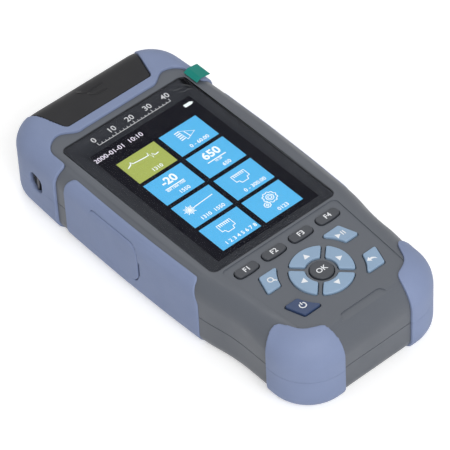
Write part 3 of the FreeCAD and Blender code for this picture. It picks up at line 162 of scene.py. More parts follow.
class TesterColours(bpy.types.PropertyGroup):
    """Colours of the tester, as scene-linear values."""

    case: colour_property("Case", "Moulded plastic of both shells", (0.098, 0.109, 0.130))
    rubber: colour_property("Bumpers and grips", "Soft overmoulded rubber", (0.22, 0.273, 0.435))
    cover: colour_property("Dust cover", "Plastic of the dust cover", (0.007, 0.007, 0.009))
    light_key: colour_property("Light keys", "Cursor ring and outer keys", (0.272, 0.395, 0.55))
    dark_key: colour_property("Dark keys", "Function keys and enter key", (0.044, 0.049, 0.060))
    navy_key: colour_property("Power key", "Power key", (0.030, 0.056, 0.135))
    legend: colour_property("Legends", "Print on the keys and the glass border", (0.88, 0.90, 0.93))
    glass_border: colour_property("Glass border", "Print behind the rim of the glass", (0.046, 0.050, 0.062))
    tile: colour_property("Menu tiles", "Lit menu tiles on the display", (0.115, 0.56, 1.0))
    chosen_tile: colour_property("Chosen tile", "Lit menu tile that is chosen", (0.46, 0.54, 0.13))
    tab: colour_property("Film tab", "Pull tab of the protective film", (0.008, 0.25, 0.205))


class TesterSizes(bpy.types.PropertyGroup):
    """Small sizes of the finish. The main sizes come from the construction model."""

    case_edge: length_property("Case edge", "Rounding of the case's edges", 0.18 * MM)
    rubber_grid: length_property("Rubber grid", "Mesh size of the rubber, which rounds its rims", 0.42 * MM)
    cover_grid: length_property("Cover grid", "Mesh size of the dust cover", 0.25 * MM)
    key_grid: length_property("Key grid", "Mesh size of the keys, which rounds their rims", 0.15 * MM)
    print_lift: length_property("Print thickness", "How far print stands off its surface", 0.03 * MM)
    grain: length_property("Plastic grain", "Size of the texture moulded into the case", 0.35 * MM)


class TesterStage(bpy.types.PropertyGroup):
    """Studio light."""

    main_power: power_property("Main light", "Power of the main light", 12.5)
    top_power: power_property("Top light", "Power of the small light behind and above", 3.5)
    world: share_property("Surroundings", "Brightness of the room", 0.46)
    glow: share_property("Floor glow", "What whitens the floor for the eye", 0.42)


def colours():
    return bpy.context.scene.tester_colours


def sizes():
    return bpy.context.scene.tester_sizes


# ---------------------------------------------------------------- modelling helpers

def select_only(*objects):
    """Nothing but these objects is selected, the first of them active."""
    if bpy.context.object and bpy.context.object.mode != "OBJECT":
        bpy.ops.object.mode_set(mode="OBJECT")
    bpy.ops.object.select_all(action="DESELECT")
    for item in objects:
        item.select_set(True)
    bpy.context.view_layer.objects.active = objects[0]


def placed(name, data):
    """A new object in the scene that holds this mesh or curve, and is selected."""
    piece = bpy.data.objects.new(name, data)
    bpy.context.scene.collection.objects.link(piece)
    select_only(piece)
    return piece


def settle(piece):
    """Puts a piece's place into its mesh and leaves its object at the origin."""
    select_only(piece)
    if piece.type != "MESH":
        bpy.ops.object.convert(target="MESH")
    bpy.ops.object.transform_apply(location=True, rotation=True, scale=True)
    return piece


def apply_modifier(piece, kind, **values):
    select_only(piece)
    modifier = piece.modifiers.new(kind.title(), kind)
    for name, value in values.items():
        setattr(modifier, name, value)
    bpy.ops.object.modifier_apply(modifier=modifier.name)


def shade(piece, angle=30):
    """Smooth curves beside flat faces that stay flat."""
    select_only(piece)
    bpy.ops.object.shade_smooth_by_angle(angle=math.radians(angle))
    apply_modifier(piece, "WEIGHTED_NORMAL", mode="FACE_AREA", weight=100, keep_sharp=True)


def soften(piece, width, segments=2, angle=35):
    """Rounds the sharp edges of a piece and shades it smooth."""
    apply_modifier(
        piece, "BEVEL", width=width, segments=segments, limit_method="ANGLE", angle_limit=math.radians(angle),
        use_clamp_overlap=False, miter_outer="MITER_SHARP",
    )
    shade(piece)


def finish(piece, body, slot, material, *stands_for):
    """Gives a piece its material and its body, and hides the construction nodes that it stands for."""
    piece.data.materials.clear()
    piece.data.materials.append(material)
    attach(piece, body)
    if stands_for:
        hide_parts(*stands_for)
    return piece


def body_of(node):
    return nodes[node]["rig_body"]


def box_of(node):
    """Lowest and highest corner of a construction node, in mm."""
    return [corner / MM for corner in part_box(node)]


def copy_of(node, name):
    """A copy of a construction node with its corners merged and its flat faces whole."""
    piece = placed(name, nodes[node].data.copy())
    bpy.ops.object.mode_set(mode="EDIT")
    bpy.ops.mesh.select_all(action="SELECT")
    bpy.ops.mesh.remove_doubles(threshold=1e-6)
    bpy.ops.mesh.dissolve_limited(angle_limit=math.radians(1.0))
    bpy.ops.object.mode_set(mode="OBJECT")
    return piece


def refined(node, material, slot, width):
    """A softened copy that stands for its construction node."""
    piece = copy_of(node, node + "_piece")
    soften(piece, width)
    return finish(piece, body_of(node), slot, MATERIALS[material], node)


def gridded(piece, grid, rounds):
    """An even, closed grid over a piece with soft rims, as rubber leaves its mould."""
    apply_modifier(piece, "REMESH", mode="VOXEL", voxel_size=grid, adaptivity=0.0, use_smooth_shade=True)
    apply_modifier(piece, "SMOOTH", factor=0.5, iterations=rounds)
    select_only(piece)
    bpy.ops.object.shade_smooth()
    return piece


def overmoulded(node, material, slot, grid, rounds):
    """A soft copy that stands for its construction node."""
    piece = gridded(copy_of(node, node + "_piece"), grid, rounds)
    return finish(piece, body_of(node), slot, MATERIALS[material], node)


def pick_edges(piece, wanted):
    """Enters edit mode with only the edges selected whose two ends pass a test."""
    select_only(piece)
    bpy.ops.object.mode_set(mode="EDIT")
    bpy.ops.mesh.select_mode(type="EDGE")
    bpy.ops.mesh.select_all(action="DESELECT")
    bpy.ops.object.mode_set(mode="OBJECT")
    corners = piece.data.vertices
    for edge in piece.data.edges:
        edge.select = wanted(*(corners[index].co for index in edge.vertices))
    bpy.ops.object.mode_set(mode="EDIT")


def upright(one, other):
    """Whether two corners lie above each other."""
    return (one.xy - other.xy).length < 1e-5 and abs(one.z - other.z) > 1e-4


def boxed(name, size, place):
    """The start of a plate or a block: a box in mm about a place."""
    bpy.ops.object.select_all(action="DESELECT")
    bpy.ops.mesh.primitive_cube_add(size=1, location=Vector(place) * MM)
    piece = bpy.context.object
    piece.name = piece.data.name = name
    piece.scale = Vector(size) * MM
    return settle(piece)


def plate(name, width, length, low, high, place, corner=0.0, rim=0.0):
    """A sheet in mm between two heights, with round corners and a rounded upper rim."""
    piece = boxed(name, (width, length, high - low), (*place, (low + high) / 2))
    if corner:
        pick_edges(piece, upright)
        bpy.ops.mesh.bevel(offset=corner * MM, segments=8, affect="EDGES", clamp_overlap=True)
        bpy.ops.object.mode_set(mode="OBJECT")
    if rim:
        level = high * MM
        pick_edges(piece, lambda one, other: abs(one.z - level) < 1e-6 and abs(other.z - level) < 1e-6)
        bpy.ops.mesh.bevel(offset=rim * MM, segments=3, affect="EDGES")
        bpy.ops.object.mode_set(mode="OBJECT")
    shade(piece)
    return piece


def block(name, size, place, rounding=0.0, segments=2):
    """A box in mm with rounded edges, centred on a place."""
    piece = boxed(name, size, place)
    if rounding:
        soften(piece, rounding * MM, segments)
    return piece


def carved(piece, cutter):
    """Takes a cutter out of a piece."""
    apply_modifier(piece, "BOOLEAN", object=cutter, operation="DIFFERENCE", solver="EXACT")
    bpy.data.objects.remove(cutter)
    return piece


def sliced(piece, place, normal, keep_above):
    """Cuts a closed piece with a plane and closes the cut."""
    select_only(piece)
    bpy.ops.object.mode_set(mode="EDIT")
    bpy.ops.mesh.select_all(action="SELECT")
    bpy.ops.mesh.bisect(
        plane_co=place, plane_no=normal, use_fill=True, clear_inner=keep_above, clear_outer=not keep_above
    )
    bpy.ops.object.mode_set(mode="OBJECT")
    return piece


def joined(name, *pieces):
    """Several meshes made one piece."""
    select_only(*pieces)
    if len(pieces) > 1:
        bpy.ops.object.join()
    piece = bpy.context.object
    piece.name = piece.data.name = name
    return piece


def turned(name, profile, x, z, steps=48):
    """A body turned about an axis along Y, from (radius, y) points in mm round its closed section."""
    mesh = bpy.data.meshes.new(name)
    corners = [(radius * MM, y * MM, 0) for radius, y in profile]
    mesh.from_pydata(corners, [(k, (k + 1) % len(corners)) for k in range(len(corners))], [])
    piece = placed(name, mesh)
    apply_modifier(
        piece, "SCREW", axis="Y", steps=steps, render_steps=steps, use_merge_vertices=True,
        merge_threshold=1e-7,
    )
    bpy.ops.object.mode_set(mode="EDIT")
    bpy.ops.mesh.select_all(action="SELECT")
    bpy.ops.mesh.remove_doubles(threshold=1e-7)
    bpy.ops.mesh.normals_make_consistent(inside=False)
    bpy.ops.object.mode_set(mode="OBJECT")
    piece.location = Vector((x, 0, z)) * MM
    settle(piece)
    shade(piece)
    return piece


# ---------------------------------------------------------------- print

def drawn(name, lines, closed, **shape):
    """A curve along polylines given in mm."""
    curve = bpy.data.curves.new(name, "CURVE")
    for key, value in shape.items():
        setattr(curve, key, value)
    for points in lines:
        spline = curve.splines.new("POLY")
        spline.points.add(len(points) - 1)
        for target, (x, y) in zip(spline.points, points):
            target.co = (x * MM, y * MM, 0, 1)
        spline.use_cyclic_u = closed
    return placed(name, curve)


def strokes(name, lines, width, place, closed=False):
    """Printed lines: polylines in mm about a place, as flat ribbons with rounded edges."""
    piece = drawn(name, lines, closed, dimensions="3D", bevel_depth=width * MM / 2, bevel_resolution=1)
    bpy.ops.object.convert(target="MESH")
    bpy.ops.transform.resize(value=(1, 1, sizes().print_lift / (width * MM)))
    piece.location = Vector(place) * MM
    return settle(piece)


def filled(name, outline, place):
    """A flat printed shape: its outline in mm about a place."""
    lift = sizes().print_lift
    piece = drawn(name, [outline], True, dimensions="2D", fill_mode="BOTH", extrude=lift / 2)
    bpy.ops.object.convert(target="MESH")
    piece.location = Vector(place) * MM
    return settle(piece)


FIGURE_SIZE = 1.42  # font size of figures that are 1 tall


def figures(name, text, height, place, weight=0.0):
    """Printed figures, centred on a place given in mm."""
    bpy.ops.object.select_all(action="DESELECT")
    bpy.ops.object.text_add()
    piece = bpy.context.object
    piece.name = name
    piece.data.body = text
    piece.data.size = height * MM * FIGURE_SIZE
    piece.data.align_x = "CENTER"
    piece.data.align_y = "CENTER"
    piece.data.offset = weight * MM
    piece.data.extrude = sizes().print_lift / 2
    piece.data.resolution_u = 4
    select_only(piece)
    bpy.ops.object.convert(target="MESH")
    piece.location = Vector(place) * MM
    return settle(piece)


def on_circle(radius, degrees, middle=(0, 0)):
    """A point at an angle about a middle, in mm."""
    angle = math.radians(degrees)
    return (middle[0] + radius * math.cos(angle), middle[1] + radius * math.sin(angle))


def circle(radius, count, middle=(0, 0), start=0.0, end=360.0):
    """Points of a circle or an arc, in mm."""
    steps = count if abs(end - start) >= 360 else count - 1
    return [on_circle(radius, start + (end - start) * k / steps, middle) for k in range(count)]


# ---------------------------------------------------------------- materials

CLOUD_SIZE = 0.03  # faint mottling, in metres
SMUDGE_SIZE = 0.012  # patches of uneven gloss, in metres


def new_material(name):
    material = bpy.data.materials.new(name)
    material.use_nodes = True
    tree = material.node_tree
    shader = tree.nodes["Principled BSDF"]
    coordinates = tree.nodes.new("ShaderNodeTexCoord")
    return material, tree, shader, coordinates.outputs["Object"]


def dial(node, values):
    """Sets inputs of a shader node that nothing is linked to."""
    for name, value in values.items():
        node.inputs[name].default_value = value


def noise(tree, vector, feature, detail=3.0, roughness=0.55):
    """Noise whose features are about as large as feature, in metres."""
    node = tree.nodes.new("ShaderNodeTexNoise")
    dial(node, {"Scale": 1.0 / feature, "Detail": detail, "Roughness": roughness})
    tree.links.new(vector, node.inputs["Vector"])
    return node.outputs["Fac"]


def ramp(tree, value, *stops):
    """Turns a value into a colour, from stops of a position and a colour."""
    node = tree.nodes.new("ShaderNodeValToRGB")
    elements = node.color_ramp.elements
    while len(elements) < len(stops):
        elements.new(0.5)
    for element, (position, colour) in zip(elements, stops):
        element.position = position
        element.color = (*colour, 1.0)
    tree.links.new(value, node.inputs["Fac"])
    return node.outputs["Color"]


def span(tree, value, low, high, out_low, out_high):
    """Moves a value from one range to another."""
    node = tree.nodes.new("ShaderNodeMapRange")
    dial(node, {"From Min": low, "From Max": high, "To Min": out_low, "To Max": out_high})
    tree.links.new(value, node.inputs["Value"])
    return node.outputs["Result"]


def bump(tree, shader, *layers):
    """Stacks bumps: each layer is a value, its height in metres and its strength."""
    normal = None
    for value, distance, strength in layers:
        node = tree.nodes.new("ShaderNodeBump")
        dial(node, {"Distance": distance, "Strength": strength})
        tree.links.new(value, node.inputs["Height"])
        if normal:
            tree.links.new(normal, node.inputs["Normal"])
        normal = node.outputs["Normal"]
    tree.links.new(normal, shader.inputs["Normal"])


def scaled(colour, factor):
    return tuple(min(1.0, channel * factor) for channel in colour)


def moulded(name, colour, grain, shine, spread=0.07, speckle=0.06, depth=0.03, coat=0.5):
    """Moulded plastic or rubber: a fine texture, faint mottling and uneven gloss."""
    material, tree, shader, vector = new_material(name)
    dial(shader, {"Specular IOR Level": coat})
    cloud = noise(tree, vector, CLOUD_SIZE, 4)
    fine = noise(tree, vector, grain, 2)
    tiny = noise(tree, vector, grain * 0.4, 2)
    mix = tree.nodes.new("ShaderNodeMix")
    mix.data_type = "RGBA"
    mix.blend_type = "MULTIPLY"
    mix.inputs["Factor"].default_value = 1.0
    base = ramp(tree, cloud, (0.3, scaled(colour, 1 - spread)), (0.7, scaled(colour, 1 + spread)))
    tree.links.new(base, mix.inputs["A"])
    tree.links.new(ramp(tree, tiny, (0.3, (1 - speckle,) * 3), (0.7, (1.0,) * 3)), mix.inputs["B"])
    tree.links.new(mix.outputs["Result"], shader.inputs["Base Color"])
    smudge = noise(tree, vector, SMUDGE_SIZE, 5, 0.65)
    tree.links.new(span(tree, smudge, 0.3, 0.7, shine - 0.06, shine + 0.06), shader.inputs["Roughness"])
    bump(tree, shader, (fine, depth * MM, 0.5), (tiny, depth * MM * 0.4, 0.4))
    return material


def metal(name, colour, shine):
    """Plain metal with a fine grain."""
    material, tree, shader, vector = new_material(name)
    dial(shader, {"Metallic": 1.0})
    grain = noise(tree, vector, 0.0006, 3)
    tree.links.new(ramp(tree, grain, (0.3, scaled(colour, 0.85)), (0.7, colour)), shader.inputs["Base Color"])
    tree.links.new(span(tree, grain, 0.3, 0.7, shine - 0.06, shine + 0.08), shader.inputs["Roughness"])
    bump(tree, shader, (grain, 0.004 * MM, 0.3))
    return material


def lit(name, colour, strength=1.12):
    """A lit area of the display: bright cells in a slightly darker grid."""
    material, tree, shader, vector = new_material(name)
    cell = DISPLAY_CELL * MM
    cells = tree.nodes.new("ShaderNodeTexBrick")
    cells.offset = 0.0
    cells.squash = 1.0
    dial(cells, {
        "Scale": 1.0, "Brick Width": cell, "Row Height": cell, "Mortar Size": cell * 0.06,
        "Mortar Smooth": 0.3, "Bias": 0.0, "Color1": (*colour, 1), "Color2": (*scaled(colour, 0.985), 1),
        "Mortar": (*scaled(colour, 0.9), 1),
    })
    tree.links.new(vector, cells.inputs["Vector"])
    tree.links.new(cells.outputs["Color"], shader.inputs["Emission Color"])
    dial(shader, {
        "Emission Strength": strength, "Base Color": (0.002, 0.002, 0.003, 1), "Roughness": 0.4,
        "Specular IOR Level": 0.1,
    })
    return material


def clear(name, colour, face, edge, shine, spot=0.02, coat=0.12):
    """Clear sheet: nearly open face on, more mirror-like at a grazing look."""
    material, tree, shader, vector = new_material(name)
    dial(shader, {"Specular IOR Level": coat, "Base Color": (*colour, 1)})
    smudge = noise(tree, vector, spot, 4, 0.6)
    tree.links.new(span(tree, smudge, 0.35, 0.7, shine, shine + 0.08), shader.inputs["Roughness"])
    facing = tree.nodes.new("ShaderNodeLayerWeight")
    dial(facing, {"Blend": 0.25})
    tree.links.new(span(tree, facing.outputs["Facing"], 0.0, 1.0, face, edge), shader.inputs["Alpha"])
    bump(tree, shader, (smudge, 0.01 * MM, 0.05))
    return material


def seen_directly(tree):
    """1 for what the camera sees, also in a mirror or through glass, and 0 for light that falls on things."""
    path = tree.nodes.new("ShaderNodeLightPath")
    value = path.outputs["Is Camera Ray"]
    for name in ("Is Glossy Ray", "Is Transmission Ray"):
        either = tree.nodes.new("ShaderNodeMath")
        either.operation = "MAXIMUM"
        tree.links.new(value, either.inputs[0])
        tree.links.new(path.outputs[name], either.inputs[1])
        value = either.outputs[0]
    return value


MATERIALS = {}


def make_materials():
    colour = colours()
    grain = sizes().grain
    MATERIALS.update(
        case=moulded("case_plastic", colour.case, grain, 0.42, spread=0.05, depth=0.02),
        rubber=moulded(
            "bumper_rubber", colour.rubber, grain * 1.3, 0.62, spread=0.05, speckle=0.05, depth=0.02
        ),
        cover=moulded(
            "cover_plastic", colour.cover, grain, 0.5, spread=0.08, speckle=0.1, depth=0.02, coat=0.3
        ),
        light_key=moulded(
            "light_silicone", colour.light_key, grain, 0.5, spread=0.04, speckle=0.03, depth=0.012
        ),
        dark_key=moulded("dark_silicone", colour.dark_key, grain, 0.48, spread=0.06, depth=0.012),
        navy_key=moulded(
            "navy_silicone", colour.navy_key, grain, 0.5, spread=0.05, speckle=0.05, depth=0.012
        ),
        black=moulded("black_plastic", (0.012, 0.012, 0.013), grain, 0.45),
        board=moulded("board_green", (0.01, 0.08, 0.035), 2 * MM, 0.4),
        wrap=moulded("battery_wrap", (0.03, 0.09, 0.3), 3 * MM, 0.35),
        fibre=moulded("fibre_jacket", (0.7, 0.52, 0.05), 1 * MM, 0.5),
        silicone=moulded("mat_silicone", (0.1, 0.11, 0.13), grain, 0.5),
        ceramic=moulded(
            "white_ceramic", (0.78, 0.78, 0.75), 1 * MM, 0.25, spread=0.02, speckle=0.02, depth=0.003
        ),
        gasket=moulded(
            "gasket_rubber", (0.045, 0.047, 0.054), grain, 0.6,
            spread=0.04, speckle=0.04, depth=0.01, coat=0.3,
        ),
        border=moulded(
            "border_ink", colour.glass_border, grain, 0.5, spread=0.05, speckle=0.03, depth=0.004, coat=0.15
        ),
        ink=moulded("white_ink", colour.legend, grain, 0.55, spread=0.02, speckle=0.02, depth=0.003),
        tab=moulded(
            "tab_film", colour.tab, 0.4 * MM, 0.35, spread=0.12, speckle=0.08, depth=0.01, coat=0.2
        ),
        steel=metal("plain_steel", (0.56, 0.56, 0.55), 0.32),
        dark_steel=metal("dark_steel", (0.12, 0.12, 0.13), 0.4),
        nickel=metal("nickel_plate", (0.66, 0.63, 0.58), 0.2),
        gold=metal("gold_contact", (0.9, 0.62, 0.2), 0.25),
        backlight=lit("display_dark", (0.0022, 0.0022, 0.0065)),
        tile=lit("display_tile", colour.tile),
        chosen=lit("display_chosen_tile", colour.chosen_tile),
        glyph=lit("display_white", (0.9, 0.97, 1.0), strength=1.35),
        status=lit("display_status", (0.9, 0.86, 1.0), strength=1.2),
        lens=clear("cover_glass", (0.002, 0.002, 0.003), 0.02, 0.5, 0.04, spot=0.02, coat=0.06),
        film=clear("protective_film", (0.06, 0.062, 0.07), 0.006, 0.08, 0.14, spot=0.006, coat=0.06),
        # the creases' pale grey is partly the film's whitened folds and partly a painted highlight where the
        # lifted film catches the light
        crease=clear("film_crease_glint", (0.4, 0.42, 0.44), 0.12, 0.4, 0.3, spot=0.004, coat=0.3),
    )


# ---------------------------------------------------------------- case and rubber

class TESTER_OT_shells(bpy.types.Operator):
    """Both shells of the case."""

    bl_idname = "tester.shells"
    bl_label = "Case shells"

    def execute(self, context):
        for node in ("front_housing", "rear_housing"):
            refined(node, "case", "case_plastic", sizes().case_edge)
        return {"FINISHED"}


class TESTER_OT_rubber(bpy.types.Operator):
    """Bumpers, grips and the side flap."""

    bl_idname = "tester.rubber"
    bl_label = "Bumpers and grips"

    def execute(self, context):
        for name in ("top_bumper", "left_bumper", "right_bumper"):
            self.bumper(name)
        for node in ("right_grip", "side_flap"):
            overmoulded(node, "rubber", "bumper_rubber", sizes().rubber_grid, 3)
        self.left_grip()
        return {"FINISHED"}

    def bumper(self, name):
        """One skin over both halves of a bumper, cut in two at the case's parting line."""
        halves = [copy_of(f"{name}_{side}", f"{name}_{side}_copy") for side in ("front", "rear")]
        skin = gridded(joined(name + "_skin", *halves), sizes().rubber_grid, 4)
        parting = (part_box("front_housing")[0].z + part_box("rear_housing")[1].z) / 2
        for side, above in (("front", True), ("rear", False)):
            node = f"{name}_{side}"
            half = placed(node + "_piece", skin.data.copy())
            gap = BUMPER_SEAM * MM if above else -BUMPER_SEAM * MM
            sliced(half, (0, 0, parting + gap), (0, 0, 1), above)
            shade(half, 50)
            finish(half, body_of(node), "bumper_rubber", MATERIALS["rubber"], node)
        bpy.data.objects.remove(skin)

    def left_grip(self):
        """The grip with the strips that close the line along two sides of the flap."""
        low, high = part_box("side_flap")
        hinge = sliced(copy_of("side_flap", "hinge_lip"), (0, high.y - LIP_WIDTH * MM, 0), (0, 1, 0), True)
        hinge.location.y = LIP_SHIFT * MM
        lower = sliced(copy_of("side_flap", "lower_lip"), (0, 0, low.z + LIP_WIDTH * MM), (0, 0, 1), False)
        lower.location.z = -LIP_SHIFT * MM
        bare = copy_of("left_grip", "left_grip_copy")
        grip = gridded(joined("left_grip_piece", bare, settle(hinge), settle(lower)), sizes().rubber_grid, 3)
        finish(grip, body_of("left_grip"), "bumper_rubber", MATERIALS["rubber"], "left_grip")


class TESTER_OT_cover(bpy.types.Operator):
    """The hinged dust cover."""

    bl_idname = "tester.cover"
    bl_label = "Dust cover"

    def execute(self, context):
        overmoulded("dust_cover", "cover", "cover_plastic", sizes().cover_grid, 2)
        high = box_of("dust_cover")[1]
        marks = strokes("cover_marks", MARK_STROKES, MARK_WIDTH, (0, high.y - MARK_SET, high.z - MARK_DEPTH))
        finish(marks, body_of("dust_cover"), "cover_plastic", MATERIALS["black"])
        return {"FINISHED"}


# ---------------------------------------------------------------- keys and their legends

KEY_FINISHES = {
    "dark_key": ("f1_key", "f2_key", "f3_key", "f4_key", "enter_key"),
    "light_key": ("up_key", "down_key", "left_key", "right_key", "zoom_key", "run_key", "back_key"),
    "navy_key": ("power_key",),
}
OUTER_KEYS = ("zoom_key", "run_key", "back_key", "power_key")


class TESTER_OT_keys(bpy.types.Operator):
    """All the keys."""

    bl_idname = "tester.keys"
    bl_label = "Keys"

    def execute(self, context):
        for finish_name, keys in KEY_FINISHES.items():
            for node in keys:
                piece = gridded(copy_of(node, node + "_piece"), sizes().key_grid, 5)
                if node in OUTER_KEYS:
                    apply_modifier(piece, "SMOOTH", factor=0.5, iterations=30, use_z=False)
                finish(piece, body_of(node), finish_name, MATERIALS[finish_name], node)
        return {"FINISHED"}


def function_legend(number):
    return lambda name, place: figures(name, f"F{number}", 2.15, place, 0.045)


def arrow_legend(turn):
    """A solid triangle that points away from the ring's middle."""
    across, along = math.cos(math.radians(turn)), math.sin(math.radians(turn))
    corners = [(0.0, 1.3), (-1.3, -0.95), (1.3, -0.95)]
    spots = [(x * across - y * along, x * along + y * across) for x, y in corners]
    return lambda name, place: filled(name, spots, place)


def zoom_legend(name, place):
    ring = strokes(name + "_ring", [circle(1.05, 20, (-0.25, 0.3))], 0.5, place, closed=True)
    handle = strokes(name + "_handle", [[(0.55, -0.5), (1.45, -1.4)]], 0.6, place)
    return joined(name, ring, handle)


def run_legend(name, place):
    arrow = filled(name + "_arrow", [(-1.9, -1.15), (-1.9, 1.15), (0.1, 0.0)], place)
    bars = strokes(name + "_bars", [[(x, -1.0), (x, 1.0)] for x in (0.8, 1.75)], 0.5, place)
    return joined(name, arrow, bars)


def power_legend(name, place):
    ring = strokes(name + "_ring", [circle(1.25, 18, (0, 0), 125, 415)], 0.48, place)
    bar = strokes(name + "_bar", [[(0, 0.2), (0, 1.6)]], 0.48, place)
    return joined(name, ring, bar)


def back_legend(name, place):
    outline = [
        (-2.0, 0.3), (-0.5, 1.5), (-0.5, 0.8), (0.6, 0.6), (1.4, -0.1), (1.7, -1.2),
        (0.9, -0.4), (0.2, -0.15), (-0.5, -0.1), (-0.5, -0.9),
    ]
    return filled(name, outline, place)


def enter_legend(name, place):
    return figures(name, "OK", 2.2, place, 0.05)


LEGENDS = {f"f{number}_key": function_legend(number) for number in range(1, 5)}
LEGENDS.update(
    up_key=arrow_legend(0), left_key=arrow_legend(90), down_key=arrow_legend(180),
    right_key=arrow_legend(270), enter_key=enter_legend, zoom_key=zoom_legend, run_key=run_legend,
    power_key=power_legend, back_key=back_legend,
)


class TESTER_OT_legends(bpy.types.Operator):
    """Print on the keys."""

    bl_idname = "tester.legends"
    bl_label = "Key legends"

    def execute(self, context):
        for node, make in LEGENDS.items():
            low, high = box_of(node)
            middle = (low + high) / 2
            piece = make(node.replace("_key", "_legend"), (middle.x, middle.y, high.z))
            finish(piece, body_of(node), "light_key", MATERIALS["ink"])
        return {"FINISHED"}


# ---------------------------------------------------------------- cover glass and display

def display_middle():
    """Middle of the lit area."""
    low, high = box_of("screen_glass")
    return ((low + high) / 2).xy + Vector(DISPLAY_SHIFT)


class TESTER_OT_lens(bpy.types.Operator):
    """Cover glass with the print on its back."""

    bl_idname = "tester.lens"
    bl_label = "Cover glass"

    def execute(self, context):
        body = body_of("screen_glass")
        low, high = box_of("screen_glass")
        middle = ((low + high) / 2).xy
        width, length = high.x - low.x, high.y - low.y
        back = high.z - LENS_THICK
        lens = plate("cover_lens", width, length, back, high.z, middle, GLASS_CORNER, LENS_RIM)
        finish(lens, body, "clear_glass", MATERIALS["lens"], "screen_glass")
        inner = (width - GLASS_PLAY, length - GLASS_PLAY)
        stack = plate("display_stack", *inner, low.z, back - STACK_DROP, middle, GLASS_CORNER)
        finish(stack, body, "display", MATERIALS["black"])
        level = back - BORDER_DROP
        border = plate("glass_border", *inner, level - LAYER / 2, level + LAYER / 2, middle, GLASS_CORNER)
        opening = (DISPLAY_WIDTH, DISPLAY_LENGTH, back - 1, back + 1, display_middle())
        carved(border, plate("display_opening", *opening))
        finish(border, body, "display", MATERIALS["border"])
        outer = (width + 2 * GASKET, length + 2 * GASKET, low.z + 0.2, high.z - 0.2)
        gasket = plate("glass_gasket", *outer, middle, GLASS_CORNER + GASKET)
        opening = (width - 0.02, length - 0.02, low.z, high.z, middle, GLASS_CORNER)
        carved(gasket, plate("gasket_opening", *opening))
        finish(gasket, body, "black_plastic", MATERIALS["gasket"])
        finish(self.scale(back - SCALE_DROP), body, "display", MATERIALS["ink"])
        return {"FINISHED"}

    def scale(self, level):
        """A plain distance scale above the display."""
        x, y = display_middle()
        y += DISPLAY_LENGTH / 2 + SCALE_RISE
        half = SCALE_STEP * (SCALE_TICKS - 1) / 2
        spots = [SCALE_STEP * number - half for number in range(SCALE_TICKS)]
        ticks = [[(spot, 0), (spot, 0.8 if number % 5 else 1.5)] for number, spot in enumerate(spots)]
        parts = [strokes("scale_ticks", ticks + [[(-half, 0), (half, 0)]], 0.3, (x, y, level))]
        for number in range(0, SCALE_TICKS, 5):
            place = (x + spots[number], y + 3.4, level)
            parts.append(figures(f"scale_figure_{number}", str(number * 2), 2.6, place, 0.05))
        return joined("distance_scale", *parts)


def trace_icon(name, place):
    """A reflection trace."""
    line = [
        (-7.2, 0.6), (-5.2, 1.6), (-4.7, 2.7), (-4.2, 1.5), (0.6, 1.0), (2.8, 0.9), (3.2, 2.4), (3.7, -1.2),
        (4.4, 1.0), (5.0, -0.4), (6.8, -0.2),
    ]
    return strokes(name, [line], 0.5, place)


def map_icon(name, place):
    """A folded wedge with rungs beside it."""
    wedge = [(-1.6, 3.2), (-1.2, -2.6), (3.6, -0.6)]
    shell = strokes(name + "_shell", [wedge], 0.42, place, closed=True)
    levels = (2.8, 1.7, 0.6, -0.5, -1.6)
    rungs = strokes(name + "_rungs", [[(-3.6, y), (-1.6, y + 0.1)] for y in levels], 0.5, place)
    fold = strokes(name + "_fold", [[(0.6, -1.8), (0.2, 1.6)]], 0.36, place)
    return joined(name, shell, rungs, fold)


def reading_icon(text, under):
    """A large reading over a line of small figures."""
    def make(name, place):
        x, y, z = place
        return joined(
            name,
            figures(name + "_reading", text, 3.7, (x, y + 1.4, z), 0.16),
            strokes(name + "_rule", [[(-4.4, -1.9), (4.4, -1.9)]], 0.5, place),
            figures(name + "_small", under, 1.0, (x, y - 2.9, z), 0.03),
        )
    return make


def laser_icon(name, place):
    """A bright spot with rays, and its beam."""
    spot = (-4.6, 0)
    rays = []
    for number in range(16):
        reach = 1.9 if number % 2 else 2.5
        rays.append([on_circle(radius, 22.5 * number, spot) for radius in (1.0, reach)])
    star = strokes(name + "_rays", rays, 0.36, place)
    core = filled(name + "_core", circle(0.9, 16, spot), place)
    beam = strokes(name + "_beam", [[(-2.6, 0.1), (6.9, 0.7)]], 0.4, place)
    return joined(name, star, core, beam)


def plug_icon(name, place):
    """The face of a cable jack."""
    right = [(3.1, 2.6), (3.1, -1.0), (1.9, -1.0), (1.5, -2.4)]
    outline = [(-3.1, 2.6)] + right + [(-x, y) for x, y in reversed(right[1:])]
    shell = strokes(name + "_shell", [outline], 0.42, place, closed=True)
    pins = [[(0.84 * (number - 2.5), 2.5), (0.84 * (number - 2.5), 1.2)] for number in range(6)]
    return joined(name, shell, strokes(name + "_pins", pins, 0.4, place))


def gear_outline(middle, radius, teeth):
    """Points of a toothed rim: two outer and two inner ones for each tooth."""
    points = []
    for number in range(teeth * 4):
        reach = radius * (1.16 if number % 4 in (0, 1) else 1.0)
        points.append(on_circle(reach, 90 * number / teeth, middle))
    return points


def gear_icon(name, place):
    """Two gears."""
    large, small = (0.7, 0.6), (-2.6, -1.9)
    teeth = [gear_outline(large, 2.5, 10), gear_outline(small, 1.15, 8)]
    holes = [circle(1.5, 20, large), circle(0.75, 14, large), circle(0.45, 12, small)]
    rims = strokes(name + "_rims", teeth, 0.36, place, closed=True)
    return joined(name, rims, strokes(name + "_rings", holes, 0.36, place, closed=True))


TILES = (
    (0, 0, trace_icon, "1310"), (1, 0, map_icon, "0 - 60.00"),
    (0, 1, reading_icon("-20", "850 1300 1550"), "1550"), (1, 1, reading_icon("650", "10 20"), "650"),
    (0, 2, laser_icon, "1310  1550"), (1, 2, plug_icon, "0 - 300.00"),
    (0, 3, plug_icon, "1 2 3 4 5 6 7 8"), (1, 3, gear_icon, "0123"),
)


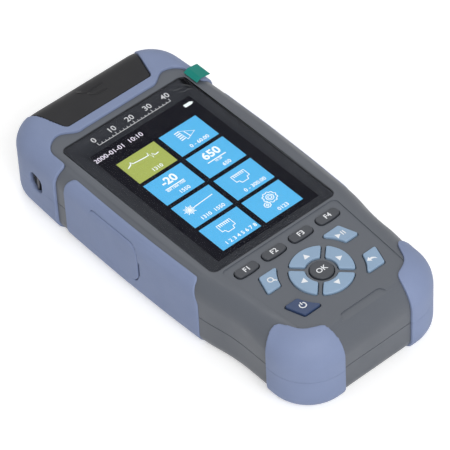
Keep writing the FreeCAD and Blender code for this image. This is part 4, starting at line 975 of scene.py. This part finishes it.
CELL_OUTLINE = (
    (-2.0, -0.8), (1.4, -0.8), (1.4, -0.4), (2.0, -0.4), (2.0, 0.4), (1.4, 0.4), (1.4, 0.8), (-2.0, 0.8),
)


class TESTER_OT_display(bpy.types.Operator):
    """The lit picture of the display: tiles, drawings and figures."""

    bl_idname = "tester.display"
    bl_label = "Display"

    def execute(self, context):
        middle = display_middle()
        level = box_of("screen_glass")[1].z - LENS_THICK - PICTURE_DROP
        face = level + TILE_LIFT
        front = face + GLYPH_LIFT
        outline = (DISPLAY_WIDTH + 0.6, DISPLAY_LENGTH + 0.6, level - LAYER / 2, level + LAYER / 2, middle)
        self.show(plate("display_picture", *outline), "backlight")
        for number, (column, row, draw, caption) in enumerate(TILES, start=1):
            across, width = TILE_COLUMNS[column]
            x, y = middle.x + across, middle.y + TILE_ROWS[row]
            outline = (width, TILE_HEIGHT, face - TILE_THICK / 2, face + TILE_THICK / 2, (x, y))
            self.show(plate(f"tile_{number}", *outline), "chosen" if number == 1 else "tile")
            icon = draw(f"tile_{number}_icon", (x, y + 1.5, front))
            below = figures(f"tile_{number}_caption", caption, 1.75, (x + 1.2, y - 4.8, front), 0.035)
            self.show(joined(f"tile_{number}_drawing", icon, below), "glyph")
        place = (middle.x + CLOCK_PLACE[0], middle.y + CLOCK_PLACE[1], face)
        self.show(figures("clock_figures", "2000-01-01  10:10", 2.2, place, 0.03), "status")
        place = (middle.x + CHARGE_PLACE[0], middle.y + CHARGE_PLACE[1], face)
        self.show(filled("charge_sign", CELL_OUTLINE, place), "glyph")
        return {"FINISHED"}

    def show(self, piece, material):
        finish(piece, body_of("screen_glass"), "display", MATERIALS[material])


class TESTER_OT_film(bpy.types.Operator):
    """Protective film, its creases and its pull tab."""

    bl_idname = "tester.film"
    bl_label = "Protective film"

    def execute(self, context):
        body = body_of("screen_film")
        low, high = box_of("screen_film")
        middle = ((low + high) / 2).xy
        width, length = high.x - low.x, high.y - low.y
        film = plate("clear_film", width, length, low.z, high.z, middle, FILM_CORNER, 0.05)
        finish(film, body, "clear_film", MATERIALS["film"], "screen_film")
        lines = [
            [(-3.4, 2.6), (-1.6, 1.7), (0.4, 1.5)], [(-2.2, 0.3), (-0.4, -0.7), (1.6, -0.6), (3.0, -1.8)],
            [(1.0, 2.9), (2.4, 1.6), (3.2, -0.2)],
        ]
        place = (high.x - CREASE_SET[0], high.y - CREASE_SET[1], high.z)
        # pale grey crease lines: partly whitened folds in the film, partly a painted highlight of light
        # caught on the lifted film
        finish(strokes("film_creases", lines, 0.36, place), body, "clear_film", MATERIALS["crease"])
        self.tab_part("pull_tab", True, "green_film", "tab", "film_tab")
        self.tab_part("tab_stem", False, "clear_film", "film")
        return {"FINISHED"}

    def tab_part(self, name, outer, slot, material, *stands_for):
        """The green outer part of the tab, or the clear part beside the glass."""
        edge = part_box("screen_glass")[1].x + TAB_STEM * MM
        piece = sliced(copy_of("film_tab", name), (edge, 0, 0), (1, 0, 0), outer)
        soften(piece, 0.06 * MM, 1)
        finish(piece, body_of("film_tab"), slot, MATERIALS[material], *stands_for)


# ---------------------------------------------------------------- connectors and inner pieces

ADAPTERS = {  # thickness of the flange, and how far the thread is set in from its rim
    "otdr_adapter": (1.4, 1.0),
    "meter_adapter": (1.0, 0.8),
    "locator_adapter": (1.0, 0.4),
}


class TESTER_OT_connectors(bpy.types.Operator):
    """Threaded adapters, cable jack and charging socket."""

    bl_idname = "tester.connectors"
    bl_label = "Connectors"

    def execute(self, context):
        for node, (flange, step) in ADAPTERS.items():
            self.adapter(node, flange, step)
        refined("port_panel", "black", "black_plastic", 0.15 * MM)
        self.jack()
        self.socket()
        return {"FINISHED"}

    def adapter(self, node, flange, step):
        """Flange, threaded nose with a key slot, the tail behind the panel, and the sleeve inside."""
        low, high = box_of(node)
        middle = (low + high) / 2
        tail, end = low.y, high.y
        front = box_of("port_panel")[1].y
        rim = (high.x - low.x) / 2
        nose = rim - step
        root, crest = nose - THREAD_DEPTH, nose - 0.03
        section = [
            (FERRULE, tail), (nose - 0.25, tail), (nose - 0.25, front), (rim - CHAMFER, front),
            (rim, front + CHAMFER), (rim, front + flange - CHAMFER), (rim - CHAMFER, front + flange),
            (root, front + flange),
        ]
        y = front + flange + 0.5
        while y < end - 1.0:
            section += [(root, y), (crest, y + 0.3 * THREAD_PITCH), (crest, y + 0.45 * THREAD_PITCH)]
            section += [(root, y + 0.75 * THREAD_PITCH)]
            y += THREAD_PITCH
        section += [(root, end - 0.3), (root - 0.3, end), (FERRULE + 0.25, end), (FERRULE, end - 0.25)]
        piece = turned(node + "_piece", section, middle.x, middle.z, 64)
        carved(piece, block("key_slot", (1.1, 5.0, 2.4), (middle.x, end, middle.z + nose)))
        shade(piece)
        finish(piece, body_of("port_panel"), "nickel", MATERIALS["nickel"], node)
        wall = FERRULE - 0.03
        section = [
            (SLEEVE_BORE, end - 1.2), (0.8, end - 1.0), (wall, end - 1.0), (wall, front - 2),
            (SLEEVE_BORE, front - 2),
        ]
        sleeve = turned(node.replace("adapter", "sleeve"), section, middle.x, middle.z, 32)
        finish(sleeve, body_of("port_panel"), "nickel", MATERIALS["ceramic"])

    def jack(self):
        """The jack's shell with its eight contacts."""
        low, high = box_of("network_jack")
        middle = (low + high) / 2
        refined("network_jack", "black", "black_plastic", 0.2 * MM)
        contacts = []
        for number in range(8):
            place = (middle.x + JACK_PITCH * (number - 3.5), high.y - 6.5, middle.z + 3.2)
            contacts.append(block(f"contact_{number}", (0.4, 8.0, 0.25), place, 0.06, 1))
        finish(joined("jack_contacts", *contacts), body_of("network_jack"), "nickel", MATERIALS["gold"])

    def socket(self):
        """The charging socket's shell, tongue and contacts."""
        body = body_of("charge_socket")
        low, high = box_of("charge_socket")
        middle = (low + high) / 2
        refined("charge_socket", "steel", "steel", 0.15 * MM)
        tongue = block("socket_tongue", (5.0, 6.6, 0.75), (low.x + 4.4, middle.y, middle.z), 0.15)
        finish(tongue, body, "black_plastic", MATERIALS["black"])
        pads = []
        for number in range(12):
            place = (low.x + 3.4, middle.y + SOCKET_PITCH * (number - 5.5), middle.z)
            pads.append(block(f"pad_{number}", (2.6, 0.28, 0.9), place, 0.05, 1))
        finish(joined("socket_contacts", *pads), body, "nickel", MATERIALS["gold"])


INNER_FINISHES = {
    "black": ("optical_module", "fibre_spool", "buzzer"),
    "board": ("key_board", "main_board"),
    "steel": ("case_screws", "board_screws", "dust_cover_pin", "stand_pin"),
    "dark_steel": ("strap_bar",),
    "nickel": ("meter_detector", "locator_laser"),
    "wrap": ("battery_pack",),
    "fibre": ("fibre_coil",),
    "silicone": ("keypad_mat",),
    "cover": ("display_module",),
}


class TESTER_OT_inside(bpy.types.Operator):
    """The tilt stand, and the finishes of the pieces inside the case."""

    bl_idname = "tester.inside"
    bl_label = "Inner pieces"

    def execute(self, context):
        for name, members in INNER_FINISHES.items():
            for node in members:
                nodes[node].data.materials.clear()
                nodes[node].data.materials.append(MATERIALS[name])
        refined("tilt_stand", "case", "case_plastic", 0.3 * MM)
        return {"FINISHED"}


# ---------------------------------------------------------------- stage

class TESTER_OT_stage(bpy.types.Operator):
    """Pale floor, soft studio light and the camera."""

    bl_idname = "tester.stage"
    bl_label = "Studio"

    def execute(self, context):
        stage = context.scene.tester_stage
        self.floor(stage.glow)
        self.lamp("main_light", stage.main_power, 0.9, (-0.4, -1.1, 0.95))
        self.lamp("top_light", stage.top_power, 0.5, (0.35, 0.45, 1.5))
        self.room(context.scene, stage.world)
        self.camera(context.scene)
        context.scene.view_settings.view_transform = "Standard"
        return {"FINISHED"}

    def floor(self, brightness):
        """A sheet of paper that looks white and still takes the shadow."""
        bpy.ops.mesh.primitive_plane_add(size=12.0, location=(0, 0, 0))
        floor = bpy.context.object
        floor.name = "studio_floor"
        material, tree, shader, _ = new_material("floor_paper")
        floor.data.materials.append(material)
        dial(shader, {
            "Base Color": (0.86, 0.86, 0.86, 1), "Roughness": 0.9, "Specular IOR Level": 0.0,
            "Emission Color": (1, 1, 1, 1),
        })
        glow = span(tree, seen_directly(tree), 0.0, 1.0, 0.0, brightness)
        tree.links.new(glow, shader.inputs["Emission Strength"])

    def lamp(self, name, power, size, place):
        """A square lamp that is turned to the tester."""
        bpy.ops.object.light_add(type="AREA", location=place)
        lamp = bpy.context.object
        lamp.name = name
        lamp.data.energy = power
        lamp.data.size = size
        lamp.rotation_euler = (-Vector(place)).to_track_quat("-Z", "Y").to_euler()

    def room(self, scene, brightness):
        """A white room that lights the tester at its own brightness."""
        scene.world = bpy.data.worlds.new("studio_room")
        scene.world.use_nodes = True
        tree = scene.world.node_tree
        background = tree.nodes["Background"]
        background.inputs["Color"].default_value = (1, 1, 1, 1)
        strength = span(tree, seen_directly(tree), 0.0, 1.0, brightness, 1.0)
        tree.links.new(strength, background.inputs["Strength"])

    def camera(self, scene):
        bpy.ops.object.camera_add(location=(-0.53293, -0.66616, 0.88641))
        camera = bpy.context.object
        camera.name = "product_camera"
        camera.rotation_euler = Euler([math.radians(angle) for angle in (44.3456, 2.281, -41.0016)], "XYZ")
        camera.data.sensor_width = 36.0
        camera.data.lens = 262.3
        camera.data.clip_end = 20.0
        scene.camera = camera


# ---------------------------------------------------------------- panel and registration

class TESTER_PT_panel(bpy.types.Panel):
    """Lists the steps that build the tester."""

    bl_idname = "TESTER_PT_panel"
    bl_label = "Fibre Tester"
    bl_space_type = "VIEW_3D"
    bl_region_type = "UI"
    bl_category = "Fibre Tester"

    def draw(self, context):
        for step in STEPS:
            self.layout.operator(step.bl_idname)
        for group in (context.scene.tester_colours, context.scene.tester_sizes, context.scene.tester_stage):
            for name in group.bl_rna.properties.keys():
                if name not in {"rna_type", "name"}:
                    self.layout.prop(group, name)


GROUPS = (TesterColours, TesterSizes, TesterStage)
STEPS = (
    TESTER_OT_shells, TESTER_OT_rubber, TESTER_OT_cover, TESTER_OT_keys, TESTER_OT_legends, TESTER_OT_lens,
    TESTER_OT_display, TESTER_OT_film, TESTER_OT_connectors, TESTER_OT_inside, TESTER_OT_stage,
)


def register():
    for item in (*GROUPS, *STEPS, TESTER_PT_panel):
        bpy.utils.register_class(item)
    bpy.types.Scene.tester_colours = PointerProperty(type=TesterColours)
    bpy.types.Scene.tester_sizes = PointerProperty(type=TesterSizes)
    bpy.types.Scene.tester_stage = PointerProperty(type=TesterStage)


def unregister():
    for name in ("tester_colours", "tester_sizes", "tester_stage"):
        delattr(bpy.types.Scene, name)
    for item in reversed((*GROUPS, *STEPS, TESTER_PT_panel)):
        bpy.utils.unregister_class(item)


def main():
    register()
    make_materials()
    for step in STEPS:
        group, name = step.bl_idname.split(".")
        getattr(getattr(bpy.ops, group), name)()


if __name__ == "__main__":
    main()
